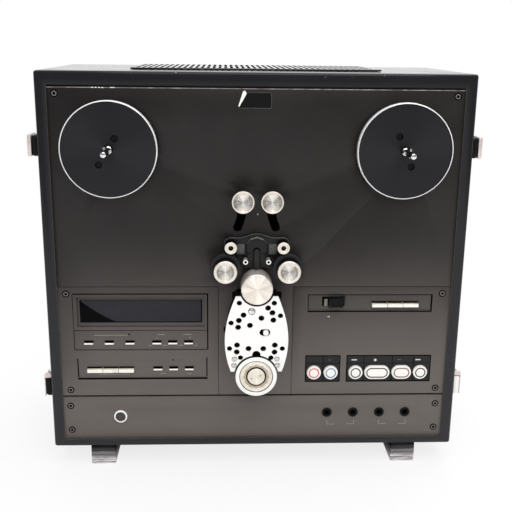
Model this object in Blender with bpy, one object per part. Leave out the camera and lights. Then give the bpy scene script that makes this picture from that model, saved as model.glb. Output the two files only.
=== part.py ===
"""A reel-to-reel tape deck in its portable case, with the front cover off and no reels fitted.

The finished part: X points right, Y into the deck, Z up, and the origin is on the floor under the middle.
While the pieces are made, Y counts from the front rim of the case, so whatever stands in front of it has a
negative Y, and Z counts from the case's underside. Each piece moves to its place when it is finished.
Places across the panels are shares of half their width, so that they spread with the case.
"""

import math

import bmesh
import bpy
from mathutils import Matrix, Vector

MM = 0.001

# Clearances and shared values
fit = 0.3 * MM
running_fit = 0.4 * MM
overrun = 5 * MM
small_edge = 0.4 * MM
weld_distance = 0.002 * MM
round_steps = 40
small_round_steps = 12
soft_angle = math.radians(32)

# Portable case
case_width = 484 * MM
case_height = 445 * MM
case_depth = 230 * MM
side_wall = 12.2 * MM
top_wall = 16.7 * MM
bottom_wall = 9 * MM
back_wall = 9 * MM
case_edge = 3 * MM
ledge_width = 9 * MM
ledge_depth = 16 * MM
foot_height = 25 * MM
foot_width = 29.5 * MM
foot_centre = 0.38017 * case_width
foot_wall = 4 * MM
foot_front = 2 * MM
foot_length = 222 * MM
foot_edge = 2 * MM

# Vent grille on the top
vent_width = 0.59298 * case_width
vent_front = 50 * MM
vent_length = 140 * MM
vent_rise = 2 * MM
vent_frame = 5 * MM
vent_pitch = 6.75 * MM
vent_slot = 3.4 * MM
vent_landing = 4 * MM

# Cover latches on the sides
latch_heights = {"upper": 362.5 * MM, "lower": 72 * MM}
latch_width = 23.5 * MM
latch_front = 8 * MM
latch_length = 26 * MM
latch_base_thickness = 8.7 * MM
latch_lever_thickness = 6 * MM

# Panels behind the rim
panel_recess = 3 * MM
panel_thickness = 3 * MM
panel_gap = 0.5 * MM
deck_seam = 201.5 * MM
strip_seam = 65 * MM
tongue_width = 86.7 * MM
case_half = case_width / 2
inner_half = case_half - side_wall
panel_half = inner_half - panel_gap

# Reel tables and their motors
reel_offset = 0.71086 * panel_half
reel_height = 361.4 * MM
table_radius = 53.3 * MM
table_stand = 15 * MM
table_thickness = 8 * MM
table_rim = 1.8 * MM
table_dish = 1 * MM
hub_radius = 10 * MM
hub_play = 2 * MM
table_shaft_radius = 5 * MM
spindle_radius = 4 * MM
spindle_length = 39 * MM
spindle_nose = 2 * MM
spindle_lug_reach = 5.6 * MM
spindle_lug_width = 2.4 * MM
spindle_lug_start = 3 * MM
spindle_lug_length = 24 * MM
spindle_lug_count = 3
reel_motor_radius = 0.20497 * panel_half
reel_motor_depth = 58 * MM
motor_edge = 3 * MM
motor_floor = 6 * MM
motor_mouth = 3 * MM

# Tension arms
arm_pivot_offset = 85.5 * MM
arm_block_gap = 4.428 * MM
arm_reach = 69.6 * MM
arm_rest_angle = math.radians(5)
arm_end_angle = math.radians(-23.6)
arm_slot_width = 10 * MM
arm_bar_width = 9 * MM
arm_bar_thickness = 3 * MM
arm_bar_gap = 2 * MM
arm_hub_radius = 7 * MM
arm_stud_radius = 3 * MM
arm_post_radius = 3.5 * MM
arm_spindle_radius = 1.8 * MM
tension_cap_radius = 12.4 * MM
tension_cap_thickness = 3 * MM
tension_body_radius = 7 * MM
tension_flange_radius = 9 * MM
tension_flange_thickness = 1.5 * MM
tension_front = 28 * MM
tension_back = 12 * MM

# Head block casting, guide rollers and posts
block_front = 10.5 * MM
block_half_width = 37.5 * MM
block_lift = 18.8 * MM
block_rise = 40.8 * MM
block_shoulder_share = 0.885
block_outline_shares = [
    (0.0, 1.0),
    (0.14, 0.985),
    (0.47, block_shoulder_share),
    (0.72, 0.88),
    (0.86, 0.87),
    (0.96, 0.80),
    (1.0, 0.69),
    (0.97, 0.58),
    (0.88, 0.50),
    (0.72, 0.47),
    (0.58, 0.47),
    (0.40, 0.44),
    (0.40, 0.02),
    (0.36, 0.0),
]
guide_pinch_gap = 1.228 * MM
guide_lean = math.radians(103.61)
guide_radius = 6.9 * MM
guide_waist_radius = 5.2 * MM
guide_flange = 1.6 * MM
guide_bore_radius = 2.8 * MM
guide_pin_radius = 2.4 * MM
guide_front = 26 * MM
guide_back = 12 * MM
post_offset = 13 * MM
post_lift = 29.6 * MM
post_radius = 2.7 * MM
post_bore_radius = 1.3 * MM
post_bore_depth = 6 * MM
post_front = 24 * MM

# Pinch rollers and arms
pinch_capstan_gap = 5.533 * MM
pinch_lean = math.radians(30.536)
pinch_tyre_radius = 17.8 * MM
pinch_tyre_front = 23 * MM
pinch_tyre_back = 11 * MM
pinch_cap_radius = 13.1 * MM
pinch_cap_slope = 2.5 * MM
pinch_front = 37 * MM
pinch_pin_radius = 2.5 * MM
pinch_bore_floor = 8 * MM
pinch_arm_front = 10 * MM
pinch_arm_back = 6 * MM
pinch_arm_width = 13 * MM
pinch_pivot_reach = 15 * MM
pinch_shaft_radius = 3.5 * MM
pinch_shaft_tail = 8 * MM

# Capstan, its motor and the return roller
capstan_height = 208 * MM
capstan_radius = 18 * MM
capstan_front = 34 * MM
capstan_back = 8 * MM
capstan_crown = 1.5 * MM
capstan_shaft_radius = 5 * MM
capstan_hole_play = 2 * MM
capstan_motor_radius = 38 * MM
capstan_motor_depth = 50 * MM
return_height = 103.9 * MM
return_radius = 24 * MM
return_front = 36 * MM
return_back = 6 * MM
return_pin_radius = 5 * MM
return_bore_floor = 8 * MM
return_lip = 4.7 * MM
return_dish = 1.2 * MM
return_hub_radius = 10.5 * MM

# Head cover plate, the heads under it and the small slide switch
cover_half_width = 36.6 * MM
cover_bottom = 107.6 * MM
cover_rise = 92.8 * MM
cover_outline_shares = [
    (0.66, 1.0),
    (0.81, 0.84),
    (0.93, 0.675),
    (0.99, 0.51),
    (1.0, 0.37),
    (0.95, 0.20),
    (0.86, 0.06),
    (0.81, 0.0),
]
cover_front = 34 * MM
cover_thickness = 2 * MM
cover_capstan_gap = 1.8 * MM
cover_return_gap = 1.8 * MM
heads_inset = 2 * MM
notch_radius = 4.8 * MM
notch_height = 130.4 * MM
switch_centre = 9.4 * MM
switch_height = 157.4 * MM
switch_slot_width = 12.4 * MM
switch_slot_height = 8.4 * MM
switch_knob_radius = 3.7 * MM
switch_knob_shift = 2 * MM
switch_knob_rise = 2 * MM
switch_pocket_depth = 7 * MM

# Display window
window_left = -0.89315 * panel_half
window_width = 0.61840 * panel_half
window_bottom = 157.3 * MM
window_height = 27.4 * MM
window_setback = 1.5 * MM
window_thickness = 4 * MM

# Shallow bays sunk into the panels
bezel_left = -0.92630 * panel_half
bezel_width = 0.67771 * panel_half
bezel_bottom = 148.2 * MM
bezel_height = 43.8 * MM
option_bay_depth = 0.8 * MM
option_bay_bottom = 124 * MM
timer_bay_left = -0.91758 * panel_half
timer_bay_width = 0.66943 * panel_half
timer_bay_bottom = 87.5 * MM
timer_bay_height = 26.7 * MM
timer_bay_depth = 1.5 * MM
tape_bay_left = 0.26952 * panel_half
tape_bay_width = 0.63541 * panel_half
tape_bay_bottom = 172 * MM
tape_bay_height = 19 * MM
tape_bay_depth = 1.2 * MM
transport_bay_shares = [(0.26341, 0.18229), (0.47972, 0.44265)]
transport_bay_bottom = 82.2 * MM
transport_bay_height = 33 * MM
transport_bay_depth = 1 * MM

# Small push buttons of the left panel
key_width = 0.04536 * panel_half
key_height = 3 * MM
key_rise = 2 * MM
key_length = 9 * MM
key_headroom = 1.6 * MM
option_key_first = -0.85478 * panel_half
option_key_pitch = 0.10532 * panel_half
adjust_key_first = -0.50632 * panel_half
adjust_key_pitch = 0.08112 * panel_half
upper_key_height = 132.5 * MM
lower_key_height = 99.6 * MM
lower_key_first = -0.50371 * panel_half
keys_in_row = 3

# Selector keys, three abreast
selector_width = 0.08068 * panel_half
selector_height = 6.4 * MM
selector_rise = 3 * MM
selector_length = 10 * MM
selector_headroom = 1.8 * MM
selector_split = 0.5 * MM
left_selector_first = -0.82774 * panel_half
left_selector_height = 98.6 * MM
right_selector_first = 0.63628 * panel_half
right_selector_height = 179.3 * MM

# Transport keys
transport_radius = 0.03707 * panel_half
transport_height = 94 * MM
transport_rise = 3 * MM
transport_length = 9 * MM
transport_edge = 0.8 * MM
transport_key_shares = {
    "record_key": (0.30833, 0),
    "pause_key": (0.39642, 0),
    "rewind_key": (0.52726, 0),
    "stop_key": (0.64021, 0.05887),
    "play_key": (0.76930, 0.02878),
    "forward_key": (0.86873, 0),
}

# Slide switch of the right panel
slider_slot_left = 0.34017 * panel_half
slider_slot_width = 0.11601 * panel_half
slider_slot_bottom = 177.2 * MM
slider_slot_height = 11.8 * MM
slider_knob_width = 0.07414 * panel_half
slider_knob_height = 11.2 * MM
slider_rise = 6 * MM
slider_length = 13 * MM
slider_end_gap = 2.2 * MM

# Lower strip: power button and jacks
power_centre = -0.70432 * panel_half
power_height = 38.2 * MM
power_ring_radius = 8.2 * MM
power_ring_rise = 3.5 * MM
power_button_radius = 5.9 * MM
power_button_rise = 3 * MM
power_button_length = 14 * MM
jack_shares = [0.38465, 0.52377, 0.66376, 0.80201]
jack_height = 41.4 * MM
jack_collar_radius = 6 * MM
jack_collar_rise = 1 * MM
jack_bore_radius = 3.3 * MM

# Sealed pieces inside and the mains inlet behind
transformer_size = Vector((84 * MM, 66 * MM, 72 * MM))
transformer_left = 0.30528 * panel_half
transformer_back_gap = 25 * MM
board_size = Vector((200 * MM, 110 * MM, 1.6 * MM))
board_left = -0.82861 * panel_half
board_front = 70 * MM
board_standoff = 8 * MM
board_leg_radius = 3 * MM
board_leg_inset = 8 * MM
inlet_centre = -0.65416 * panel_half
inlet_height = 60 * MM
inlet_body = Vector((27 * MM, 20 * MM, 19 * MM))
inlet_flange = Vector((42 * MM, 2 * MM, 26 * MM))
inlet_pocket = Vector((22 * MM, 15 * MM, 14 * MM))
inlet_sink = 0.5 * MM

# Levels and edges that follow from the sizes above
panel_face = panel_recess
panel_back = panel_face + panel_thickness
inner_top = case_height - top_wall
panel_top = inner_top - panel_gap
panel_bottom = bottom_wall + panel_gap
cavity_back = case_depth - back_wall
half_gap = panel_gap / 2
pinch_reach = capstan_radius + pinch_tyre_radius + pinch_capstan_gap
pinch_offset = pinch_reach * math.cos(pinch_lean)
pinch_height = capstan_height + pinch_reach * math.sin(pinch_lean)
guide_reach = pinch_tyre_radius + guide_radius + guide_pinch_gap
guide_offset = pinch_offset + guide_reach * math.cos(guide_lean)
guide_height = pinch_height + guide_reach * math.sin(guide_lean)
block_bottom = capstan_height + block_lift
block_shoulder = block_bottom + block_shoulder_share * block_rise
arm_lowest = block_shoulder + arm_block_gap + arm_slot_width / 2
arm_pivot_height = arm_lowest - arm_reach * math.sin(arm_end_angle)
post_height = capstan_height + post_lift
transformer_front = cavity_back - transformer_back_gap - transformer_size.y
spindle_tip = panel_face - table_stand - spindle_length
middle_depth = (spindle_tip + case_depth) / 2
tongue_half = tongue_width / 2


def in_front(distance):
    """The Y of a level this far in front of the panels."""
    return panel_face - distance


def clear_scene():
    for obj in list(bpy.data.objects):
        bpy.data.objects.remove(obj)


def new_material(name, colour, roughness, metallic):
    found = bpy.data.materials.new(name)
    found.use_nodes = True
    shader = found.node_tree.nodes["Principled BSDF"]
    shader.inputs["Base Color"].default_value = (*colour, 1)
    shader.inputs["Roughness"].default_value = roughness
    shader.inputs["Metallic"].default_value = metallic
    return found


def as_object(name, shape):
    """Turns a bmesh into an object with its faces pointing out."""
    bmesh.ops.recalc_face_normals(shape, faces=shape.faces)
    mesh = bpy.data.meshes.new(name)
    shape.to_mesh(mesh)
    shape.free()
    obj = bpy.data.objects.new(name, mesh)
    bpy.context.scene.collection.objects.link(obj)
    return obj


def block(name, low, high):
    """A box between two corners."""
    shape = bmesh.new()
    bmesh.ops.create_cube(shape, size=1)
    low = Vector(low)
    high = Vector(high)
    size = high - low
    for vertex in shape.verts:
        vertex.co = (low + high) / 2 + Vector([c * s for c, s in zip(vertex.co, size)])
    return as_object(name, shape)


def prism(name, outline, near, far):
    """An outline of (x, z) points drawn out from Y = near to Y = far."""
    shape = bmesh.new()
    front = [shape.verts.new((x, near, z)) for x, z in outline]
    back = [shape.verts.new((x, far, z)) for x, z in outline]
    shape.faces.new(front)
    shape.faces.new(back)
    count = len(outline)
    for i in range(count):
        j = (i + 1) % count
        shape.faces.new((front[i], front[j], back[j], back[i]))
    return as_object(name, shape)


def turned(name, profile, x, z, steps=round_steps):
    """A (radius, y) profile turned about the line along Y through (x, z)."""
    shape = bmesh.new()
    rings = []
    for radius, y in profile:
        if radius == 0:
            rings.append([shape.verts.new((x, y, z))])
            continue
        ring = []
        for i in range(steps):
            angle = 2 * math.pi * i / steps
            ring.append(shape.verts.new((x + radius * math.cos(angle), y, z + radius * math.sin(angle))))
        rings.append(ring)
    pairs = list(zip(rings, rings[1:]))
    if profile[0][0] != 0:
        pairs.append((rings[-1], rings[0]))
    for one, two in pairs:
        for i in range(steps):
            j = (i + 1) % steps
            corners = [one[i % len(one)], one[j % len(one)], two[j % len(two)], two[i % len(two)]]
            shape.faces.new(list(dict.fromkeys(corners)))
    return as_object(name, shape)


def rod(name, radius, near, far, x, z, steps=small_round_steps):
    return turned(name, [(0, near), (radius, near), (radius, far), (0, far)], x, z, steps)


def capsule(start, end, start_radius, end_radius):
    """The (x, z) outline of a flat bar with round ends, or a circle where start and end are one point."""
    turn = math.atan2(end[1] - start[1], end[0] - start[0])
    one_point = start == end
    outline = []
    ends = ((start, start_radius, turn + math.pi / 2), (end, end_radius, turn - math.pi / 2))
    for centre, radius, first in ends:
        steps = small_round_steps - 1 if one_point else small_round_steps
        for i in range(steps + 1):
            angle = first + math.pi * i / small_round_steps
            outline.append((centre[0] + radius * math.cos(angle), centre[1] + radius * math.sin(angle)))
    return outline


def combine(obj, other, operation):
    """Joins the other mesh to obj, or cuts it away, and removes it."""
    other.hide_render = True
    other.display_type = "WIRE"
    modifier = obj.modifiers.new(operation.lower(), "BOOLEAN")
    modifier.operation = operation
    modifier.solver = "EXACT"
    modifier.object = other
    settle(obj)
    shape = bmesh.new()
    shape.from_mesh(obj.data)
    bmesh.ops.remove_doubles(shape, verts=shape.verts, dist=weld_distance)
    shape.to_mesh(obj.data)
    shape.free()
    bpy.data.objects.remove(other)
    return obj


def cut(obj, other):
    return combine(obj, other, "DIFFERENCE")


def join(obj, other):
    return combine(obj, other, "UNION")


def settle(obj):
    """Gives obj the mesh that its modifiers make."""
    bpy.context.view_layer.update()
    graph = bpy.context.evaluated_depsgraph_get()
    mesh = bpy.data.meshes.new_from_object(obj.evaluated_get(graph))
    obj.modifiers.clear()
    obj.data = mesh


def bevel(obj, width, segments=1):
    modifier = obj.modifiers.new("edge", "BEVEL")
    modifier.width = width
    modifier.segments = segments
    modifier.limit_method = "ANGLE"
    modifier.angle_limit = soft_angle
    settle(obj)
    return obj


def finish(obj, material, origin=None, smooth=False):
    """Gives a piece its material, its shading and its place in the row frame, and an origin if it moves."""
    colour, roughness, metallic = material
    obj.data.materials.clear()
    obj.data.materials.append(new_material(obj.name, colour, roughness, metallic))
    if smooth:
        obj.data.shade_smooth()
        obj.data.set_sharp_from_angle(angle=soft_angle)
    if origin is not None:
        obj.data.transform(Matrix.Translation(-Vector(origin)))
        obj.location = Vector(origin)
    obj.location.y -= middle_depth
    obj.location.z += foot_height
    return obj


vinyl = ((0.018, 0.018, 0.021), 0.6, 0.0)
dark_metal = ((0.035, 0.03, 0.028), 0.45, 0.3)
black_metal = ((0.01, 0.01, 0.011), 0.4, 0.3)
bright_metal = ((0.75, 0.73, 0.7), 0.25, 1.0)
cover_metal = ((0.85, 0.85, 0.85), 0.35, 0.8)
rubber = ((0.012, 0.012, 0.013), 0.8, 0.0)
dark_glass = ((0.01, 0.01, 0.012), 0.08, 0.0)
ivory = ((0.85, 0.83, 0.79), 0.35, 0.0)
black_plastic = ((0.012, 0.012, 0.012), 0.5, 0.0)
board_green = ((0.02, 0.12, 0.05), 0.5, 0.0)
steel = ((0.5, 0.5, 0.5), 0.35, 1.0)


def half_outline(shares, half_width, bottom, rise):
    """A symmetric outline from the shares of its right half, listed from the top down."""
    right = [(share_x * half_width, bottom + share_z * rise) for share_x, share_z in shares]
    left = [(-x, z) for x, z in reversed(right) if x > 0]
    return right + left


# Portable case
def build_case():
    shell = block("case_shell", (-case_half, 0, 0), (case_half, case_depth, case_height))
    bevel(shell, case_edge, 2)
    ledge_front = panel_back + fit
    ledge_back = ledge_front + ledge_depth
    narrow_half = inner_half - ledge_width
    wide_low = bottom_wall
    low = (-inner_half, -overrun, wide_low)
    cut(shell, block("front_room", low, (inner_half, ledge_front, inner_top)))
    narrow_low = wide_low + ledge_width
    narrow_top = inner_top - ledge_width
    low = (-narrow_half, 0, narrow_low)
    cut(shell, block("middle_room", low, (narrow_half, cavity_back, narrow_top)))
    low = (-inner_half, ledge_back, wide_low)
    cut(shell, block("back_room", low, (inner_half, cavity_back, inner_top)))
    vent_half = vent_width / 2 - vent_landing
    vent_low = vent_front + vent_landing
    vent_high = vent_front + vent_length - vent_landing
    low = (-vent_half, vent_low, inner_top - overrun)
    cut(shell, block("vent_hole", low, (vent_half, vent_high, case_height + overrun)))
    hole_x = inlet_body.x / 2 + fit
    hole_z = inlet_body.z / 2 + fit
    low = (inlet_centre - hole_x, cavity_back - overrun, inlet_height - hole_z)
    high = (inlet_centre + hole_x, case_depth + overrun, inlet_height + hole_z)
    cut(shell, block("inlet_hole", low, high))
    rim_x = inlet_flange.x / 2 + fit
    rim_z = inlet_flange.z / 2 + fit
    floor = case_depth - inlet_sink - inlet_flange.y - fit
    low = (inlet_centre - rim_x, floor, inlet_height - rim_z)
    high = (inlet_centre + rim_x, case_depth + overrun, inlet_height + rim_z)
    cut(shell, block("inlet_rim", low, high))
    for side in (-1, 1):
        for height in latch_heights.values():
            inner = side * (case_half - case_edge)
            outer = side * (case_half + latch_base_thickness)
            low = (min(inner, outer), latch_front, height - latch_width / 2)
            high = (max(inner, outer), latch_front + latch_length, height + latch_width / 2)
            join(shell, block("latch_base", low, high))
    finish(shell, vinyl)


def build_vent():
    half = vent_width / 2
    low = (-half, vent_front, case_height + fit)
    high = (half, vent_front + vent_length, case_height + fit + vent_rise)
    grille = block("vent_grille", low, high)
    slots = bmesh.new()
    count = int((vent_width - 2 * vent_frame) / vent_pitch)
    first = -(count - 1) * vent_pitch / 2
    for i in range(count):
        centre = first + i * vent_pitch
        made = bmesh.ops.create_cube(slots, size=1)["verts"]
        for vertex in made:
            vertex.co.x = centre + vertex.co.x * vent_slot
            vertex.co.y = vent_front + vent_length / 2 + vertex.co.y * (vent_length - 2 * vent_frame)
            vertex.co.z = case_height + vertex.co.z * 2 * overrun
    cut(grille, as_object("vent_slots", slots))
    finish(grille, black_metal)


def build_feet():
    for side, word in ((-1, "left"), (1, "right")):
        centre = side * foot_centre
        half = foot_width / 2
        low = (centre - half, foot_front, -foot_height)
        high = (centre + half, foot_front + foot_length, -fit)
        foot = bevel(block("foot_" + word, low, high), foot_edge, 2)
        inner = half - foot_wall
        low = (centre - inner, foot_front + foot_wall, -foot_height - overrun)
        high = (centre + inner, foot_front + foot_length - foot_wall, -fit - foot_wall)
        cut(foot, block("foot_hollow", low, high))
        finish(foot, bright_metal)


def build_latches():
    thickness = latch_lever_thickness
    pivot_y = latch_front + latch_length - thickness / 2
    half = latch_width / 2
    for side, word in ((-1, "left"), (1, "right")):
        pivot_x = side * (case_half + latch_base_thickness + fit + thickness / 2)
        for level, height in latch_heights.items():
            outline = []
            for i in range(small_round_steps // 2 + 1):
                angle = 2 * math.pi * i / small_round_steps
                x = pivot_x + thickness / 2 * math.cos(angle)
                outline.append((x, pivot_y + thickness / 2 * math.sin(angle)))
            outline.append((pivot_x - thickness / 2, latch_front))
            outline.append((pivot_x + thickness / 2, latch_front))
            lever = bmesh.new()
            low_ring = [lever.verts.new((x, y, height - half)) for x, y in outline]
            high_ring = [lever.verts.new((x, y, height + half)) for x, y in outline]
            lever.faces.new(low_ring)
            lever.faces.new(high_ring)
            for i in range(len(outline)):
                j = (i + 1) % len(outline)
                lever.faces.new((low_ring[i], low_ring[j], high_ring[j], high_ring[i]))
            obj = as_object("latch_" + level + "_" + word, lever)
            finish(obj, bright_metal, (pivot_x, pivot_y, height), True)


# Panels
def arc_slot(side):
    """The curved slot that a tension arm's post runs in."""
    pivot_x = side * arm_pivot_offset
    near = arm_reach - arm_slot_width / 2
    far = arm_reach + arm_slot_width / 2
    radius = arm_slot_width / 2
    steps = 10
    outline = []
    for i in range(steps + 1):
        angle = arm_end_angle + (arm_rest_angle - arm_end_angle) * i / steps
        outline.append((pivot_x - side * far * math.cos(angle), arm_pivot_height + far * math.sin(angle)))
    for i in range(1, steps):
        turn = arm_rest_angle + math.pi * i / steps
        x = arm_reach * math.cos(arm_rest_angle) + radius * math.cos(turn)
        z = arm_reach * math.sin(arm_rest_angle) + radius * math.sin(turn)
        outline.append((pivot_x - side * x, arm_pivot_height + z))
    for i in range(steps + 1):
        angle = arm_rest_angle + (arm_end_angle - arm_rest_angle) * i / steps
        x = pivot_x - side * near * math.cos(angle)
        outline.append((x, arm_pivot_height + near * math.sin(angle)))
    for i in range(1, steps):
        turn = arm_end_angle + math.pi + math.pi * i / steps
        x = arm_reach * math.cos(arm_end_angle) + radius * math.cos(turn)
        z = arm_reach * math.sin(arm_end_angle) + radius * math.sin(turn)
        outline.append((pivot_x - side * x, arm_pivot_height + z))
    return prism("arm_slot", outline, panel_face - overrun, panel_back + overrun)


def pinch_pivot(side):
    """Where a pinch arm turns: square to the line from its roller to the capstan, on the outer side."""
    across = pinch_height - capstan_height
    length = math.hypot(pinch_offset, across)
    x = pinch_offset + pinch_pivot_reach * across / length
    z = pinch_height - pinch_pivot_reach * pinch_offset / length
    return side * x, z


def through(name, radius, x, z):
    return rod(name, radius, panel_face - overrun, panel_back + overrun, x, z, round_steps)


def build_deck_plate():
    outline = [
        (-panel_half, panel_top),
        (-panel_half, deck_seam + half_gap),
        (-tongue_half, deck_seam + half_gap),
        (-tongue_half, strip_seam + half_gap),
        (tongue_half, strip_seam + half_gap),
        (tongue_half, deck_seam + half_gap),
        (panel_half, deck_seam + half_gap),
        (panel_half, panel_top),
    ]
    plate = prism("deck_plate", outline, panel_face, panel_back)
    for side in (-1, 1):
        cut(plate, through("hub_hole", hub_radius + hub_play, side * reel_offset, reel_height))
        cut(plate, arc_slot(side))
        pivot_x, pivot_z = pinch_pivot(side)
        cut(plate, through("pinch_hole", pinch_shaft_radius + running_fit, pivot_x, pivot_z))
        stud_end = panel_back + arm_bar_gap + arm_bar_thickness + arm_bar_gap
        root = panel_face + small_edge
        stud = rod("stud", arm_stud_radius, root, stud_end, side * arm_pivot_offset, arm_pivot_height)
        join(plate, stud)
    cut(plate, through("capstan_hole", capstan_shaft_radius + capstan_hole_play, 0, capstan_height))
    pin_end = in_front(return_front - return_bore_floor - fit)
    join(plate, rod("return_pin", return_pin_radius, pin_end, panel_back - small_edge, 0, return_height))
    finish(plate, dark_metal)


def sunk(left, width, bottom, height, depth):
    """A cutter that sinks a flat bay into the face of a panel."""
    low = (left, panel_face - overrun, bottom)
    return block("bay", low, (left + width, panel_face + depth, bottom + height))


def bezel_cutter():
    """A cutter whose four sides slope from the bezel's edge in to the window."""
    shape = bmesh.new()
    right = bezel_left + bezel_width
    top = bezel_bottom + bezel_height
    window_right = window_left + window_width
    window_top = window_bottom + window_height
    outer = [(bezel_left, bezel_bottom), (right, bezel_bottom), (right, top), (bezel_left, top)]
    inner = [
        (window_left, window_bottom),
        (window_right, window_bottom),
        (window_right, window_top),
        (window_left, window_top),
    ]
    levels = ((outer, panel_face - overrun), (outer, panel_face), (inner, panel_face + window_setback))
    rings = [[shape.verts.new((x, y, z)) for x, z in corners] for corners, y in levels]
    shape.faces.new(rings[0])
    shape.faces.new(rings[-1])
    for one, two in zip(rings, rings[1:]):
        for i in range(len(one)):
            j = (i + 1) % len(one)
            shape.faces.new((one[i], one[j], two[j], two[i]))
    return as_object("bezel_cutter", shape)


def timer_bay_cutter():
    """A cutter for the bay that starts level with the panel at the top and is deepest at the bottom."""
    cutter = sunk(timer_bay_left, timer_bay_width, timer_bay_bottom, timer_bay_height, timer_bay_depth)
    for vertex in cutter.data.vertices:
        if vertex.co.y > panel_face and vertex.co.z > timer_bay_bottom + timer_bay_height / 2:
            vertex.co.y = panel_face
    return cutter


def build_left_panel():
    outline = [
        (-panel_half, deck_seam - half_gap),
        (-panel_half, strip_seam + half_gap),
        (-tongue_half - panel_gap, strip_seam + half_gap),
        (-tongue_half - panel_gap, deck_seam - half_gap),
    ]
    panel = prism("left_panel", outline, panel_face, panel_back)
    low = (window_left - fit, panel_face - overrun, window_bottom - fit)
    high = (window_left + window_width + fit, panel_back + overrun, window_bottom + window_height + fit)
    cut(panel, block("window_hole", low, high))
    cut(panel, bezel_cutter())
    bay_height = bezel_bottom - panel_gap - option_bay_bottom
    cut(panel, sunk(bezel_left, bezel_width, option_bay_bottom, bay_height, option_bay_depth))
    cut(panel, timer_bay_cutter())
    for name, x, z in key_places():
        cut(panel, key_hole(x, z, key_width, key_height, key_headroom))
    middle = left_selector_first + selector_width
    width = 3 * selector_width
    cut(panel, key_hole(middle, left_selector_height, width, selector_height, selector_headroom))
    finish(panel, dark_metal)


def build_right_panel():
    outline = [
        (tongue_half + panel_gap, deck_seam - half_gap),
        (tongue_half + panel_gap, strip_seam + half_gap),
        (panel_half, strip_seam + half_gap),
        (panel_half, deck_seam - half_gap),
    ]
    panel = prism("right_panel", outline, panel_face, panel_back)
    middle = right_selector_first + selector_width
    width = 3 * selector_width
    cut(panel, key_hole(middle, right_selector_height, width, selector_height, selector_headroom))
    cut(panel, sunk(tape_bay_left, tape_bay_width, tape_bay_bottom, tape_bay_height, tape_bay_depth))
    for left, width in transport_bay_shares:
        bay = (left * panel_half, width * panel_half)
        cut(panel, sunk(*bay, transport_bay_bottom, transport_bay_height, transport_bay_depth))
    low = (slider_slot_left, panel_face - overrun, slider_slot_bottom)
    slot_top = slider_slot_bottom + slider_slot_height
    high = (slider_slot_left + slider_slot_width, panel_back + overrun, slot_top)
    cut(panel, block("slider_slot", low, high))
    for place, stretch in transport_key_shares.values():
        centre = place * panel_half
        radius = transport_radius + fit
        outline = stadium(centre, transport_height, radius, stretch * panel_half)
        cut(panel, prism("transport_hole", outline, panel_face - overrun, panel_back + overrun))
    finish(panel, dark_metal)


def collar(panel, inner, outer, rise, x, z):
    """A hole through the panel with a raised ring round it."""
    middle = (inner + outer) / 2
    cut(panel, rod("hole", middle, panel_face - overrun, panel_back + overrun, x, z, round_steps))
    front = in_front(rise)
    root = panel_back - small_edge
    profile = [(inner, front), (outer, front), (outer, root), (inner, root)]
    join(panel, turned("ring", profile, x, z))


def build_lower_strip():
    outline = [
        (-panel_half, strip_seam - half_gap),
        (-panel_half, panel_bottom),
        (panel_half, panel_bottom),
        (panel_half, strip_seam - half_gap),
    ]
    strip = prism("lower_strip", outline, panel_face, panel_back)
    hole = power_button_radius + running_fit
    collar(strip, hole, power_ring_radius, power_ring_rise, power_centre, power_height)
    for share in jack_shares:
        x = share * panel_half
        collar(strip, jack_bore_radius, jack_collar_radius, jack_collar_rise, x, jack_height)
    finish(strip, dark_metal)


def build_window():
    low = (window_left, panel_face + window_setback, window_bottom)
    back = panel_face + window_setback + window_thickness
    high = (window_left + window_width, back, window_bottom + window_height)
    finish(block("display_window", low, high), dark_glass)


# Reel drive
def build_reel_drive():
    disc_front = in_front(table_stand)
    disc_back = disc_front + table_thickness
    hub_end = panel_back + fit + motor_mouth - running_fit
    shaft_end = panel_back + fit + reel_motor_depth - motor_floor - running_fit
    tip = disc_front - spindle_length
    profile = [
        (0, tip),
        (spindle_radius - spindle_nose, tip),
        (spindle_radius, tip + spindle_nose),
        (spindle_radius, disc_front + table_dish),
        (table_radius - table_rim, disc_front + table_dish),
        (table_radius - table_rim, disc_front),
        (table_radius - small_edge, disc_front),
        (table_radius, disc_front + small_edge),
        (table_radius, disc_back),
        (hub_radius, disc_back),
        (hub_radius, hub_end),
        (table_shaft_radius, hub_end),
        (table_shaft_radius, shaft_end),
        (0, shaft_end),
    ]
    motor_front = panel_back + fit
    motor_back = motor_front + reel_motor_depth
    bore = table_shaft_radius + running_fit
    bore_end = motor_back - motor_floor
    mouth = hub_radius + hub_play
    motor_profile = [
        (0, bore_end),
        (bore, bore_end),
        (bore, motor_front + motor_mouth),
        (mouth, motor_front + motor_mouth),
        (mouth, motor_front),
        (reel_motor_radius - motor_edge, motor_front),
        (reel_motor_radius, motor_front + motor_edge),
        (reel_motor_radius, motor_back - motor_edge),
        (reel_motor_radius - motor_edge, motor_back),
        (0, motor_back),
    ]
    for side, word in ((-1, "left"), (1, "right")):
        x = side * reel_offset
        table = turned("reel_table_" + word, profile, x, reel_height, 2 * round_steps)
        for i in range(spindle_lug_count):
            half = spindle_lug_width / 2
            near = tip + spindle_lug_start
            lug = block("lug", (0, near, -half), (spindle_lug_reach, near + spindle_lug_length, half))
            turn = Matrix.Rotation(2 * math.pi * i / spindle_lug_count + math.pi / 2, 4, "Y")
            lug.data.transform(Matrix.Translation((x, 0, reel_height)) @ turn)
            join(table, lug)
        finish(table, black_metal, (x, disc_front, reel_height), True)
        motor = turned("reel_motor_" + word, motor_profile, x, reel_height)
        finish(motor, steel, smooth=True)


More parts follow.
